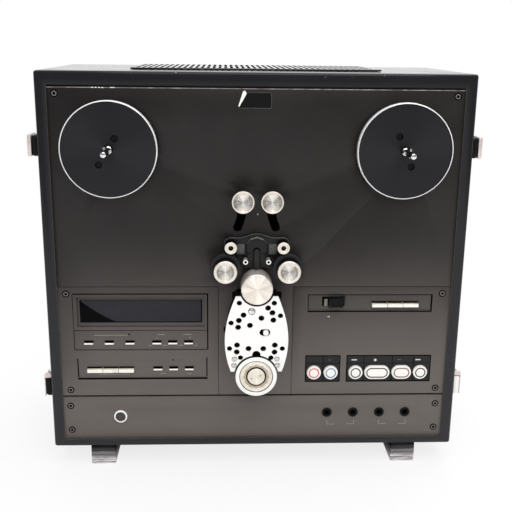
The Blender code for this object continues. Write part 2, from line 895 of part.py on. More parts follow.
# Tape tension arms
def build_tension():
    bar_front = panel_back + arm_bar_gap
    bar_back = bar_front + arm_bar_thickness
    roller_front = in_front(tension_front)
    roller_back = in_front(tension_back)
    bore_end = roller_front + tension_cap_thickness
    body_end = roller_back - tension_flange_thickness
    bore = arm_spindle_radius + running_fit
    roller_profile = [
        (0, roller_front),
        (tension_cap_radius - small_edge, roller_front),
        (tension_cap_radius, roller_front + small_edge),
        (tension_cap_radius, bore_end),
        (tension_body_radius, bore_end),
        (tension_body_radius, body_end),
        (tension_flange_radius, body_end),
        (tension_flange_radius, roller_back),
        (bore, roller_back),
        (bore, bore_end),
        (0, bore_end),
    ]
    post_end = roller_back + fit
    pin_profile = [
        (0, bore_end + fit),
        (arm_spindle_radius, bore_end + fit),
        (arm_spindle_radius, post_end),
        (arm_post_radius, post_end),
        (arm_post_radius, bar_back - small_edge),
        (0, bar_back - small_edge),
    ]
    for side, word in ((-1, "left"), (1, "right")):
        pivot_x = side * arm_pivot_offset
        roller_x = pivot_x - side * arm_reach * math.cos(arm_rest_angle)
        roller_z = arm_pivot_height + arm_reach * math.sin(arm_rest_angle)
        pivot = (pivot_x, arm_pivot_height)
        outline = capsule(pivot, (roller_x, roller_z), arm_hub_radius, arm_bar_width / 2)
        arm = prism("tension_arm_" + word, outline, bar_front, bar_back)
        join(arm, turned("post", pin_profile, roller_x, roller_z, small_round_steps))
        bore_hole = arm_stud_radius + running_fit
        near = bar_front - overrun
        far = bar_back + overrun
        cut(arm, rod("pivot_bore", bore_hole, near, far, pivot_x, arm_pivot_height, small_round_steps))
        finish(arm, steel, (pivot_x, bar_front, arm_pivot_height), True)
        roller = turned("tension_roller_" + word, roller_profile, roller_x, roller_z)
        finish(roller, bright_metal, (roller_x, roller_front, roller_z), True)


# Head block, guide rollers and pinch rollers
def build_head_block():
    outline = half_outline(block_outline_shares, block_half_width, block_bottom, block_rise)
    casting = prism("head_block", outline, in_front(block_front), panel_face - fit)
    guide_end = in_front(guide_front - small_edge)
    root = in_front(block_front) + small_edge
    for side in (-1, 1):
        x = side * guide_offset
        join(casting, rod("guide_pin", guide_pin_radius, guide_end, root, x, guide_height))
        post = rod("post", post_radius, in_front(post_front), root, side * post_offset, post_height)
        mouth = in_front(post_front) - overrun
        floor = in_front(post_front) + post_bore_depth
        cut(post, rod("post_bore", post_bore_radius, mouth, floor, side * post_offset, post_height))
        join(casting, post)
    finish(casting, black_metal, smooth=True)


def build_guide_rollers():
    front = in_front(guide_front)
    back = in_front(guide_back)
    profile = [
        (guide_bore_radius, front),
        (guide_radius, front),
        (guide_radius, front + guide_flange),
        (guide_waist_radius, front + guide_flange),
        (guide_waist_radius, back - guide_flange),
        (guide_radius, back - guide_flange),
        (guide_radius, back),
        (guide_bore_radius, back),
    ]
    for side, word in ((-1, "left"), (1, "right")):
        x = side * guide_offset
        roller = turned("guide_roller_" + word, profile, x, guide_height)
        finish(roller, bright_metal, (x, front, guide_height), True)


def build_pinch():
    front = in_front(pinch_front)
    tyre_front = in_front(pinch_tyre_front)
    tyre_back = in_front(pinch_tyre_back)
    bore = pinch_pin_radius + running_fit
    bore_end = front + pinch_bore_floor
    roller_profile = [
        (0, front),
        (pinch_cap_radius - pinch_cap_slope, front),
        (pinch_cap_radius, front + pinch_cap_slope),
        (pinch_cap_radius, tyre_front),
        (pinch_tyre_radius - small_edge, tyre_front),
        (pinch_tyre_radius, tyre_front + small_edge),
        (pinch_tyre_radius, tyre_back),
        (bore, tyre_back),
        (bore, bore_end),
        (0, bore_end),
    ]
    arm_front = in_front(pinch_arm_front)
    arm_back = in_front(pinch_arm_back)
    shaft_end = panel_back + pinch_shaft_tail
    half = pinch_arm_width / 2
    for side, word in ((-1, "left"), (1, "right")):
        x = side * pinch_offset
        pivot_x, pivot_z = pinch_pivot(side)
        outline = capsule((pivot_x, pivot_z), (x, pinch_height), half, half)
        arm = prism("pinch_arm_" + word, outline, arm_front, arm_back)
        join(arm, rod("pin", pinch_pin_radius, bore_end + fit, arm_back - small_edge, x, pinch_height))
        join(arm, rod("shaft", pinch_shaft_radius, arm_front + small_edge, shaft_end, pivot_x, pivot_z))
        finish(arm, black_metal, (pivot_x, arm_front, pivot_z), True)
        roller = turned("pinch_roller_" + word, roller_profile, x, pinch_height)
        finish(roller, rubber, (x, front, pinch_height), True)


# Capstan and return roller
def build_capstan():
    front = in_front(capstan_front)
    back = in_front(capstan_back)
    motor_front = panel_back + fit
    motor_back = motor_front + capstan_motor_depth
    bore_end = motor_back - motor_floor
    shaft_end = bore_end - running_fit
    profile = [
        (0, front),
        (capstan_radius - capstan_crown, front),
        (capstan_radius, front + capstan_crown),
        (capstan_radius, back),
        (capstan_shaft_radius, back),
        (capstan_shaft_radius, shaft_end),
        (0, shaft_end),
    ]
    capstan = turned("capstan", profile, 0, capstan_height)
    finish(capstan, bright_metal, (0, front, capstan_height), True)
    bore = capstan_shaft_radius + running_fit
    motor_profile = [
        (0, bore_end),
        (bore, bore_end),
        (bore, motor_front),
        (capstan_motor_radius - motor_edge, motor_front),
        (capstan_motor_radius, motor_front + motor_edge),
        (capstan_motor_radius, motor_back - motor_edge),
        (capstan_motor_radius - motor_edge, motor_back),
        (0, motor_back),
    ]
    finish(turned("capstan_motor", motor_profile, 0, capstan_height), steel, smooth=True)


def build_return_roller():
    front = in_front(return_front)
    back = in_front(return_back)
    bore = return_pin_radius + running_fit
    bore_end = front + return_bore_floor
    inner = return_radius - return_lip
    profile = [
        (0, front + small_edge),
        (return_hub_radius, front + small_edge),
        (return_hub_radius, front + return_dish),
        (inner, front + return_dish),
        (inner, front),
        (return_radius - small_edge, front),
        (return_radius, front + small_edge),
        (return_radius, back),
        (bore, back),
        (bore, bore_end),
        (0, bore_end),
    ]
    roller = turned("return_roller", profile, 0, return_height, 2 * round_steps)
    finish(roller, bright_metal, (0, front, return_height), True)


# Head cover plate and what is under it
def switch_outline(clearance):
    radius = switch_slot_height / 2 + clearance
    return stadium(switch_centre, switch_height, radius, switch_slot_width - switch_slot_height)


def stadium(x, z, radius, stretch):
    """An outline of two half circles that stand stretch apart, or a circle where stretch is zero."""
    return capsule((x - stretch / 2, z), (x + stretch / 2, z), radius, radius)


def build_head_cover():
    front = in_front(cover_front)
    back = front + cover_thickness
    outline = half_outline(cover_outline_shares, cover_half_width, cover_bottom, cover_rise)
    cover = prism("head_cover", outline, front, back)
    inset = (cover_half_width - heads_inset) / cover_half_width
    drop = (cover_rise - 2 * heads_inset) / cover_rise
    sill = cover_bottom + heads_inset
    heads_outline = [(x * inset, sill + (z - cover_bottom) * drop) for x, z in outline]
    heads = prism("head_carrier", heads_outline, back + fit, panel_face - fit)
    near = front - overrun
    far = panel_face
    for obj, extra in ((cover, 0), (heads, small_edge)):
        capstan_room = capstan_radius + cover_capstan_gap + extra
        return_room = return_radius + cover_return_gap + extra
        cut(obj, rod("capstan_room", capstan_room, near, far, 0, capstan_height, round_steps))
        cut(obj, rod("return_room", return_room, near, far, 0, return_height, round_steps))
    cut(cover, rod("notch", notch_radius, near, back + overrun, 0, notch_height))
    cut(cover, prism("switch_slot", switch_outline(0), near, back + overrun))
    pocket_end = back + fit + switch_pocket_depth
    cut(heads, prism("switch_pocket", switch_outline(small_edge), near, pocket_end))
    finish(cover, cover_metal)
    finish(heads, black_metal)
    knob_x = switch_centre + switch_knob_shift - fit
    knob_front = front - switch_knob_rise
    knob_end = pocket_end - fit
    shape = (switch_knob_radius, knob_front, knob_end)
    knob = rod("head_switch", *shape, knob_x, switch_height, round_steps)
    finish(bevel(knob, small_edge), bright_metal, (knob_x, knob_front, switch_height), True)


# Keys and buttons
def key_hole(x, z, width, height, headroom):
    """A hole round a key, with room above it for the dark gap that shows there."""
    low = (x - width / 2 - fit, panel_face - overrun, z - height / 2 - fit)
    high = (x + width / 2 + fit, panel_back + overrun, z + height / 2 + headroom)
    return block("key_hole", low, high)


def key_places():
    places = []
    for i in range(keys_in_row):
        x = option_key_first + i * option_key_pitch
        places.append(("option_key_%d" % (i + 1), x, upper_key_height))
        x = adjust_key_first + i * adjust_key_pitch
        places.append(("adjust_key_%d" % (i + 1), x, upper_key_height))
        x = lower_key_first + i * adjust_key_pitch
        places.append(("timer_key_%d" % (i + 1), x, lower_key_height))
    return places


def key(name, x, z, width, height, rise, length):
    near = in_front(rise)
    low = (x - width / 2, near, z - height / 2)
    high = (x + width / 2, near + length, z + height / 2)
    return finish(bevel(block(name, low, high), small_edge), ivory, (x, near, z))


def build_keys():
    for name, x, z in key_places():
        key(name, x, z, key_width, key_height, key_rise, key_length)
    width = selector_width - selector_split
    for i in range(keys_in_row):
        x = left_selector_first + i * selector_width
        name = "left_selector_%d" % (i + 1)
        key(name, x, left_selector_height, width, selector_height, selector_rise, selector_length)
        x = right_selector_first + i * selector_width
        name = "right_selector_%d" % (i + 1)
        key(name, x, right_selector_height, width, selector_height, selector_rise, selector_length)
    for name, (place, stretch) in transport_key_shares.items():
        x = place * panel_half
        near = in_front(transport_rise)
        outline = stadium(x, transport_height, transport_radius, stretch * panel_half)
        obj = bevel(prism(name, outline, near, near + transport_length), transport_edge)
        finish(obj, ivory, (x, near, transport_height), True)


def build_switches():
    right = slider_slot_left + slider_slot_width - slider_end_gap
    middle = slider_slot_bottom + slider_slot_height / 2
    near = in_front(slider_rise)
    low = (right - slider_knob_width, near, middle - slider_knob_height / 2)
    high = (right, near + slider_length, middle + slider_knob_height / 2)
    slider = bevel(block("slide_switch", low, high), small_edge)
    finish(slider, black_plastic, (right - slider_knob_width / 2, near, middle))
    near = in_front(power_button_rise)
    far = near + power_button_length
    button = rod("power_button", power_button_radius, near, far, power_centre, power_height, round_steps)
    finish(bevel(button, small_edge), black_plastic, (power_centre, near, power_height), True)


# Sealed pieces inside and the mains inlet
def build_inside():
    low = Vector((transformer_left, transformer_front, bottom_wall + fit))
    transformer = bevel(block("power_transformer", low, low + transformer_size), small_edge)
    finish(transformer, steel)
    floor = bottom_wall + fit
    low = Vector((board_left, board_front, floor + board_standoff))
    board = block("circuit_board", low, low + board_size)
    for x in (board_left + board_leg_inset, board_left + board_size.x - board_leg_inset):
        for y in (board_front + board_leg_inset, board_front + board_size.y - board_leg_inset):
            leg = rod("leg", board_leg_radius, floor, floor + board_standoff + small_edge, 0, 0)
            leg.data.transform(Matrix.Rotation(math.pi / 2, 4, "X"))
            bounds = [vertex.co.z for vertex in leg.data.vertices]
            leg.data.transform(Matrix.Translation((x, y, floor - min(bounds))))
            join(board, leg)
    finish(board, board_green)


def build_inlet():
    face = case_depth - inlet_sink - inlet_flange.y
    low = Vector((inlet_centre - inlet_body.x / 2, face + small_edge - inlet_body.y, 0))
    low.z = inlet_height - inlet_body.z / 2
    body = block("mains_inlet", low, low + inlet_body)
    low = (inlet_centre - inlet_flange.x / 2, face, inlet_height - inlet_flange.z / 2)
    high = (inlet_centre + inlet_flange.x / 2, face + inlet_flange.y, inlet_height + inlet_flange.z / 2)
    join(body, block("flange", low, high))
    pocket_back = face + inlet_flange.y + overrun
    mouth = face + inlet_flange.y - inlet_pocket.y
    low = (inlet_centre - inlet_pocket.x / 2, mouth, inlet_height - inlet_pocket.z / 2)
    high = (inlet_centre + inlet_pocket.x / 2, pocket_back, inlet_height + inlet_pocket.z / 2)
    cut(body, block("pocket", low, high))
    finish(body, black_plastic)


clear_scene()
build_case()
build_vent()
build_feet()
build_latches()
build_deck_plate()
build_left_panel()
build_right_panel()
build_lower_strip()
build_window()
build_reel_drive()
build_tension()
build_head_block()
build_guide_rollers()
build_pinch()
build_capstan()
build_return_roller()
build_head_cover()
build_keys()
build_switches()
build_inside()
build_inlet()
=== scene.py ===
# %% [markdown]
# # A reel-to-reel tape deck in its portable case
# The deck stands in a black leathercloth case with the front cover off and no reels fitted.
# Every size is in millimetres, and heights count from the underside of the case, which stands on 25 mm feet.
# Each cell makes one piece or one family of pieces, in the order in which somebody could put the deck together.

# %% Load the frame
import math

import bmesh
import bpy
from mathutils import Matrix, Vector


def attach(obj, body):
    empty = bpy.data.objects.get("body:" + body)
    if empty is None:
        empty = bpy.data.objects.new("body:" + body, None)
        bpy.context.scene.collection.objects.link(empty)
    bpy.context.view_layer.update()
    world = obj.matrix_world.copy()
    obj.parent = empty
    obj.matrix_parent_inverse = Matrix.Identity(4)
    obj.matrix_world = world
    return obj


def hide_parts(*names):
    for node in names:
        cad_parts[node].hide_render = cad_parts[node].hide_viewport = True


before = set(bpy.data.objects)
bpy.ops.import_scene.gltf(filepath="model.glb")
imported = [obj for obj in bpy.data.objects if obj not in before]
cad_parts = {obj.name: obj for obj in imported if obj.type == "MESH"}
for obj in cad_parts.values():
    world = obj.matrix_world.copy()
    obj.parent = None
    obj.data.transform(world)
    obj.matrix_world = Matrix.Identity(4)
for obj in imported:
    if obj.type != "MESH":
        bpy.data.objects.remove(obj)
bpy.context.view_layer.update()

# %% [markdown]
# `at` takes millimetres counted from the middle of the case's width, from its front rim and from its underside,
# so that every later number reads like a number on a drawing. The finished model's origin is on the floor under
# its middle. `only` clears the selection, because the loaded frame and each new primitive come selected, and an
# operator acts on all that is selected.

# %% Placing and selecting
MM = 0.001
FOOT = 25
RIM = 89.5
SIDES = ((-1, "left"), (1, "right"))


def at(x, y, z):
    return Vector((x, y - RIM, z + FOOT)) * MM


def beside(side, point):
    return side * point[0], point[1]


def only(*objects):
    if bpy.context.mode != "OBJECT":
        bpy.ops.object.mode_set(mode="OBJECT")
    bpy.ops.object.select_all(action="DESELECT")
    for obj in objects:
        obj.select_set(True)
        bpy.context.view_layer.objects.active = obj


def placed(name):
    """Names the object just made and writes its place, turn and size into its mesh."""
    obj = bpy.context.object
    obj.name = name
    bpy.ops.object.transform_apply(location=True, rotation=True, scale=True)
    return obj


def faces_out(obj):
    only(obj)
    bpy.ops.object.mode_set(mode="EDIT")
    bpy.ops.mesh.select_all(action="SELECT")
    bpy.ops.mesh.normals_make_consistent(inside=False)
    bpy.ops.object.mode_set(mode="OBJECT")
    return obj


# %% [markdown]
# Three starting shapes are enough for the whole deck. A box is for sheet and blocks, and a rod for pins and holes.
# `turned` is for what a lathe makes: it starts from a disc at the back and pulls its face forward step by step,
# to a new radius each time, just as a turning drawing lists its diameters.

# %% Boxes, rods and turned pieces
LYING = (math.pi / 2, 0, 0)


def box(name, low, high):
    low, high = at(*low), at(*high)
    only()
    bpy.ops.mesh.primitive_cube_add(size=1, location=(low + high) / 2, scale=high - low)
    return placed(name)


def rod(name, radius, near, far, x, z, sides=48):
    only()
    middle, length = at(x, (near + far) / 2, z), (far - near) * MM
    bpy.ops.mesh.primitive_cylinder_add(
        vertices=sides, radius=radius * MM, depth=length, location=middle, rotation=LYING
    )
    return placed(name)


def pull(distance):
    bpy.ops.mesh.extrude_region_move(TRANSFORM_OT_translate={"value": (0, distance * MM, 0)})


def turned(name, x, z, steps, sides=72):
    """Steps are (radius, Y) from the back to the front."""
    radius, y = steps[0]
    only()
    bpy.ops.mesh.primitive_circle_add(
        vertices=sides, radius=radius * MM, fill_type="NGON", location=at(x, y, z), rotation=LYING
    )
    obj = placed(name)
    bpy.ops.object.mode_set(mode="EDIT")
    bpy.ops.mesh.select_all(action="SELECT")
    for wide, near in steps[1:]:
        pull(near - y)
        share = wide / radius
        bpy.ops.transform.resize(value=(share, 1, share), center_override=at(x, near, z))
        radius, y = wide, near
    bpy.ops.object.mode_set(mode="OBJECT")
    return faces_out(obj)


# %% [markdown]
# Flat pieces with a shaped edge are cut from sheet. `sheet` lays a disc with one corner for each corner of the
# outline, moves its corners onto the outline and pulls the face out to its thickness. `stadium` gives the outline
# of an oval key or slot, and `bar` that of an arm with two round ends.


# %% Sheet cut to an outline
def sheet(name, outline, near, far):
    only()
    bpy.ops.mesh.primitive_circle_add(vertices=len(outline), radius=MM, fill_type="NGON")
    obj = placed(name)
    for vertex, (x, z) in zip(obj.data.vertices, outline):
        vertex.co = at(x, near, z)
    bpy.ops.object.mode_set(mode="EDIT")
    bpy.ops.mesh.select_all(action="SELECT")
    pull(far - near)
    bpy.ops.object.mode_set(mode="OBJECT")
    return faces_out(obj)


def around(x, z, radius, angle):
    return x + radius * math.cos(angle), z + radius * math.sin(angle)


def bar(start, end, start_radius, end_radius, steps=12):
    turn = math.atan2(end[1] - start[1], end[0] - start[0])
    corners = []
    ends = ((start, start_radius, turn + math.pi / 2), (end, end_radius, turn - math.pi / 2))
    for point, radius, first in ends:
        corners += [around(*point, radius, first + math.pi * i / steps) for i in range(steps + 1)]
    return corners


def stadium(x, z, radius, stretch):
    if stretch == 0:
        return [around(x, z, radius, 2 * math.pi * i / 48) for i in range(48)]
    return bar((x - stretch / 2, z), (x + stretch / 2, z), radius, radius, 24)


# %% [markdown]
# Real edges are never perfectly sharp, and it is the tiny rounding that catches the light, so nearly every piece
# is softened. Holes are cut with a cutter that is then thrown away. `flip` mirrors a piece to the other side of the
# middle, `twin` gives a second piece there, `again` gives one further along, and `swung` turns a piece that was made
# at the origin and carries it to its axis. Each copy has a mesh of its own.


# %% Cutting, rounding and repeating
def apply(obj, modifier):
    only(obj)
    bpy.ops.object.modifier_apply(modifier=modifier.name)


def combine(obj, others, operation):
    for other in others:
        step = obj.modifiers.new("Combine", "BOOLEAN")
        step.operation = operation
        step.solver = "EXACT"
        step.object = other
        apply(obj, step)
        bpy.data.objects.remove(other)
    return obj


def carve(obj, *cutters):
    return combine(obj, cutters, "DIFFERENCE")


def weld(obj, *others):
    return combine(obj, others, "UNION")


def soften(obj, width, segments=2, angle=30):
    step = obj.modifiers.new("Soften", "BEVEL")
    step.width = width * MM
    step.segments = segments
    step.limit_method = "ANGLE"
    step.angle_limit = math.radians(angle)
    step.harden_normals = False
    apply(obj, step)
    return obj


def flip(obj, name):
    only(obj)
    obj.scale.x = -1
    return faces_out(placed(name))


def twin(obj, name):
    only(obj)
    bpy.ops.object.duplicate()
    return flip(bpy.context.object, name)


def again(obj, name, dx, dz):
    only(obj)
    bpy.ops.object.duplicate()
    bpy.context.object.location = Vector((dx, 0, dz)) * MM
    return placed(name)


def swung(obj, turn, x, z):
    only(obj)
    bpy.ops.transform.rotate(value=turn, orient_axis="Y", center_override=at(0, 0, 0))
    bpy.ops.transform.translate(value=(x * MM, 0, z * MM))
    return placed(obj.name)


def gather(name, pieces):
    """Joins loose pieces of one material into one object, such as a set of screws."""
    only(*pieces)
    bpy.ops.object.join()
    return placed(name)


# %% [markdown]
# A finished piece gets its material, a smooth look on its rounded faces only, the CAD nodes that it stands for and
# the body that it moves with. Its coats are other materials for some of its faces, picked by their centre in
# millimetres and their normal. `ring` picks the faces between two distances from an axis and between two Y.
# `mark_axis` writes down how far each point is from a turned piece's axis, which the lathe marks follow.


# %% Finishing a piece
def paint(obj, material, coats=()):
    slots = obj.data.materials
    if slots:
        slots[0] = material
    else:
        slots.append(material)
    for coat, test in coats:
        slots.append(coat)
        for face in obj.data.polygons:
            centre = face.center / MM + Vector((0, RIM, -FOOT))
            if test(centre, face.normal):
                face.material_index = len(slots) - 1


def ring(x, z, inner, outer=1000, front=-1000, back=1000):
    return lambda c, n: inner < math.hypot(c.x - x, c.z - z) < outer and front < c.y < back


def mark_axis(obj, x, z):
    marks = obj.data.attributes.new("from_axis", "FLOAT_VECTOR", "POINT")
    middle = at(x, 0, z)
    for mark, vertex in zip(marks.data, obj.data.vertices):
        mark.vector = vertex.co - middle


def done(obj, material, body="deck", stands_for=(), axis=None, angle=35, coats=()):
    paint(obj, material, coats)
    only(obj)
    bpy.ops.object.shade_smooth_by_angle(angle=math.radians(angle))
    if axis:
        mark_axis(obj, *axis)
    if stands_for:
        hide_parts(*stands_for)
    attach(obj, body)
    print(obj.name, "has", len(obj.data.polygons), "faces and moves with", body)
    return obj


# %% [markdown]
# Materials are small node trees. `add` puts in one node, fills its sockets in order or by name with values or links,
# and gives back one output. Colours are written as they look on a screen and turned into light by one function.
# `layer` lays colours over each other, each as far as its share goes. A Map Range node is a share that runs between
# two limits, and a share that ends at another share multiplies the two.


# %% Nodes and colours
def light(colour):
    """The linear colour of a screen colour such as 2A2A2E."""
    shares = [int(colour[i : i + 2], 16) / 255 for i in (0, 2, 4)]
    return (*[((s + 0.055) / 1.055) ** 2.4 if s > 0.04045 else s / 12.92 for s in shares], 1)


def add(tree, kind, sockets=(), out=0, **settings):
    made = tree.nodes.new("ShaderNode" + kind)
    for name, value in settings.items():
        setattr(made, name, value)
    for key, value in sockets.items() if isinstance(sockets, dict) else enumerate(sockets):
        if isinstance(value, bpy.types.NodeSocket):
            tree.links.new(value, made.inputs[key])
        else:
            made.inputs[key].default_value = value
    return made.outputs[out]


def new_material(name, **sockets):
    """A material and its tree, shader and object coordinates in mm."""
    made = bpy.data.materials.new(name)
    made.use_nodes = True
    tree = made.node_tree
    shader = tree.nodes["Principled BSDF"]
    for key, value in sockets.items():
        shader.inputs[key.replace("_", " ")].default_value = value
    place = add(tree, "TexCoord", out="Object")
    return made, tree, shader, add(tree, "VectorMath", {0: place, "Scale": 1 / MM}, operation="SCALE")


def layer(tree, shader, first, *layers):
    colour = light(first)
    for share, over in layers:
        colour = add(tree, "Mix", {0: share, 6: colour, 7: light(over)}, 2, data_type="RGBA")
    tree.links.new(colour, shader.inputs["Base Color"])


def grains(tree, place, size, detail=2.0, stretch=(1, 1, 1)):
    """Soft noise whose grains are size mm wide, longer along an axis where stretch is over 1."""
    scale = [1 / (size * share) for share in stretch]
    spread = add(tree, "Mapping", {"Vector": place, "Scale": scale})
    return add(tree, "TexNoise", {"Vector": spread, "Scale": 1.0, "Detail": detail})


def dents(tree, shader, height, depth):
    """Dents of depth mm where height runs from 0 to 1."""
    bump = add(tree, "Bump", {"Height": height, "Distance": depth * MM, "Strength": 1.0})
    tree.links.new(bump, shader.inputs["Normal"])


# %% [markdown]
# Most of the deck is painted, moulded or plated, with a fine grain that nobody sees as a pattern but that keeps it
# from looking like a drawing. `grained` makes those: two close colours mixed by soft grains, which also dent the
# surface a few hundredths of a millimetre.


# %% Painted, moulded and plated surfaces
def grained(name, dark, pale, size, depth, roughness, stretch=(1, 1, 1), **sockets):
    made, tree, shader, place = new_material(name, Roughness=roughness, **sockets)
    grain = grains(tree, place, size, 3.0, stretch)
    layer(tree, shader, dark, (add(tree, "MapRange", (grain, 0.35, 0.65)), pale))
    dents(tree, shader, grain, depth)
    return made


# satin black casting paint on the head block and the pinch arms
casting_black = grained("casting_black", "0C0C0E", "151517", 0.8, 0.01, 0.36, Specular_IOR_Level=0.3)
# black moulded plastic of the slide switch, the label, the jacks and the latch blocks
moulded_black = grained("moulded_black", "070709", "0E0E10", 0.5, 0.005, 0.4, Specular_IOR_Level=0.15)
# dead black for black parts, and painted shade in gaps, the bottoms of holes and on faces that lie in shade
black_and_painted_shade = grained("black_and_painted_shade", "040405", "070708", 1.0, 0.0, 0.9, Specular_IOR_Level=0.05)
# blackened zinc, a little metallic, on the rib of the head block
screw_black = grained("screw_black", "141313", "242220", 0.3, 0.01, 0.4, Metallic=0.4)
# ivory plastic keys, slightly yellowed
key_ivory = grained("key_ivory", "F8F4EC", "FDFBF6", 2.5, 0.003, 0.35)
# bright nickel plate on the screws of the head cover
nickel = grained("nickel", "B9B7B3", "E2E0DC", 1.2, 0.004, 0.22, Metallic=1.0)
# polished chromed steel of the fixed pins, the spindle tips and the cover's middle screw
chrome = grained("chrome", "C9C8C6", "ECEBE9", 3.0, 0.002, 0.12, Metallic=1.0)
# satin aluminium of the tape posts and of the rims of the reel tables
polished_rim = grained("polished_rim", "F0EFEE", "FBFAFA", 2.0, 0.002, 0.3, Metallic=0.3)
# bare aluminium where the paint has worn off an edge, drawn as a pale strip that is also a painted highlight where the
# edge catches the light
bare_edge_and_highlight = grained("bare_edge_and_highlight", "6F6867", "B9B0AE", 9.0, 0.002, 0.4, Metallic=0.5)
# bare rolled steel of the motor cans, the transformer, the tension arms and the coil springs
rolled_steel = grained("rolled_steel", "8C8A86", "A9A7A2", 1.5, 0.01, 0.4, (1, 6, 1), Metallic=1.0)
# satin anodised plate, nearly white, of the head cover and other pale metal in front
satin_plate = grained("satin_plate", "F8F6F3", "FDFCFA", 0.6, 0.004, 0.38, Metallic=0.1)
# matt rubber tyre of the pinch rollers
tyre_rubber = grained("tyre_rubber", "0E0E11", "18181C", 0.7, 0.02, 0.55, Specular_IOR_Level=0.4)
# green epoxy board
board_epoxy = grained("board_epoxy", "1F4A33", "2B5C40", 1.5, 0.01, 0.5)
# pale pinkish zinc plate of the latch levers
latch_zinc = grained("latch_zinc", "CDBDB9", "E9DCD8", 1.5, 0.004, 0.35, Metallic=0.4)
# a grey for the label's edges and the head block's side plates; also painted light on the shaded sides of the case's
# front opening, and painted highlights on the upper bevels of the head block
grey_and_painted_light = grained("grey_and_painted_light", "3A3937", "5C5A56", 1.2, 0.01, 0.45)
# stove-enamelled steel of the grille: black, but it mirrors the room at a grazing view
enamel = {"Coat_Weight": 1.0, "Coat_Roughness": 0.08, "Coat_IOR": 1.3}
grille_black = grained("grille_enamel", "0D0D0F", "161618", 1.0, 0.0, 0.4, **enamel)
# the worn faces of the blackened panel screws
screw_face = grained("screw_face", "5E5B57", "85817C", 0.8, 0.01, 0.4)
# the dull plastic cap of the power button
button_grey = grained("button_grey", "1C1A1A", "4A4644", 1.1, 0.02, 0.4)
# the black plates round the transport keys
plate_black = grained("plate_black", "1B1A1B", "242324", 0.6, 0.005, 0.45, Specular_IOR_Level=0.25)
# printing inks, which are flat and matt
ink_cream = grained("ink_cream", "A79B7E", "BDB190", 0.4, 0.0, 0.6)
ink_red = grained("ink_red", "D8564F", "E2706A", 0.4, 0.0, 0.5)
ink_blue = grained("ink_blue", "5F86AE", "7699BC", 0.4, 0.0, 0.5)
ink_grey = grained("ink_grey", "19181A", "242224", 0.4, 0.0, 0.5)
ink_brown = grained("ink_brown", "7A5750", "8B6860", 0.4, 0.0, 0.5)
ink_faint = grained("ink_faint", "7C7669", "8B8577", 0.4, 0.0, 0.6)
# pale and dim windows of indicator lamps that are off; the dim grey is also a painted highlight on the top of the head
# block's dome
lamp_pale = grained("lamp_pale", "C9C7C2", "DDDBD6", 0.5, 0.0, 0.4)
dim_grey_and_highlight = grained("dim_grey_and_highlight", "55534F", "625F5A", 0.5, 0.0, 0.4)

# %% [markdown]
# The case is covered in black leathercloth: a pebbled skin about a millimetre and a half to the cell, with a thin
# gloss, paler towards the floor as painted light, and worn in a few chips along the top rim. The panels are painted a
# warm grey-black, with a painted reflection of the pale floor that leaves them darker at the top than at the bottom,
# and painted shade at the left end.


# %% Leathercloth and panel paint
def make_leathercloth():
    gloss = {"Coat_Weight": 1.0, "Coat_Roughness": 0.12, "Coat_IOR": 1.25}
    made, tree, shader, place = new_material("leathercloth", Roughness=0.5, Specular_IOR_Level=0.15, **gloss)
    cells = add(tree, "TexVoronoi", {"Vector": place, "Scale": 0.7}, "Distance")
    dents(tree, shader, add(tree, "Mix", {0: 0.3, 2: cells, 3: grains(tree, place, 0.5)}), 0.12)
    broad = add(tree, "MapRange", (grains(tree, place, 60.0, 3.0), 0.3, 0.7))
    y, z = [add(tree, "SeparateXYZ", (place,), letter) for letter in "YZ"]
    # painted light from the floor: the cloth is paler towards the bottom
    low = add(tree, "MapRange", (z, 350.0, 30.0))
    # the chips show only within a few mm of the top front rim, where specks of noise pass a high mark
    front = add(tree, "MapRange", (y, 1.5 - RIM, 0.5 - RIM))
    near_rim = add(tree, "MapRange", (z, 464.0, 469.0, 0.0, front))
    worn = add(tree, "MapRange", (grains(tree, place, 3.0, 4.0, (1.8, 1, 1)), 0.70, 0.72, 0.0, near_rim))
    layer(tree, shader, "0C0C0F", (broad, "131317"), (low, "262629"), (worn, "A5A39E"))
    return made


def make_panel_paint():
    made, tree, shader, place = new_material("panel_paint", Roughness=0.38, Specular_IOR_Level=0.27)
    x, z = [add(tree, "SeparateXYZ", (place,), letter) for letter in "XZ"]
    # painted reflection of the pale floor: darker at the top and paler towards the bottom, with some random tone
    rise = add(tree, "MapRange", (z, 300.0, 95.0, 0.0, 0.72), interpolation_type="SMOOTHSTEP")
    even, faint = [add(tree, "MapRange", (z, 465.0, 45.0, 0.0, top)) for top in (1.0, 0.14)]
    painted_reflection = add(tree, "Math", (even, faint, rise), operation="MULTIPLY_ADD")
    # painted shade darkens the left end, but not on the strip at the bottom; the painted reflection grows a little
    # towards the right
    above_strip = add(tree, "MapRange", (z, 80.0, 130.0, 1.0, 0.55))
    dimmer = add(tree, "MapRange", (x, -185.0, -235.0, 1.0, above_strip))
    to_right = add(tree, "MapRange", (x, -230.0, 230.0, 0.0, 0.03))
    painted_reflection = add(tree, "Math", (painted_reflection, dimmer, to_right), operation="MULTIPLY_ADD")
    painted_reflection = add(tree, "Math", (grains(tree, place, 45.0, 3.0), 0.1, painted_reflection), operation="MULTIPLY_ADD")
    layer(tree, shader, "0C0909", (painted_reflection, "6C6561"))
    dents(tree, shader, grains(tree, place, 0.35), 0.012)
    return made


leathercloth = make_leathercloth()
panel_paint = make_panel_paint()
print("leathercloth and panel paint made")
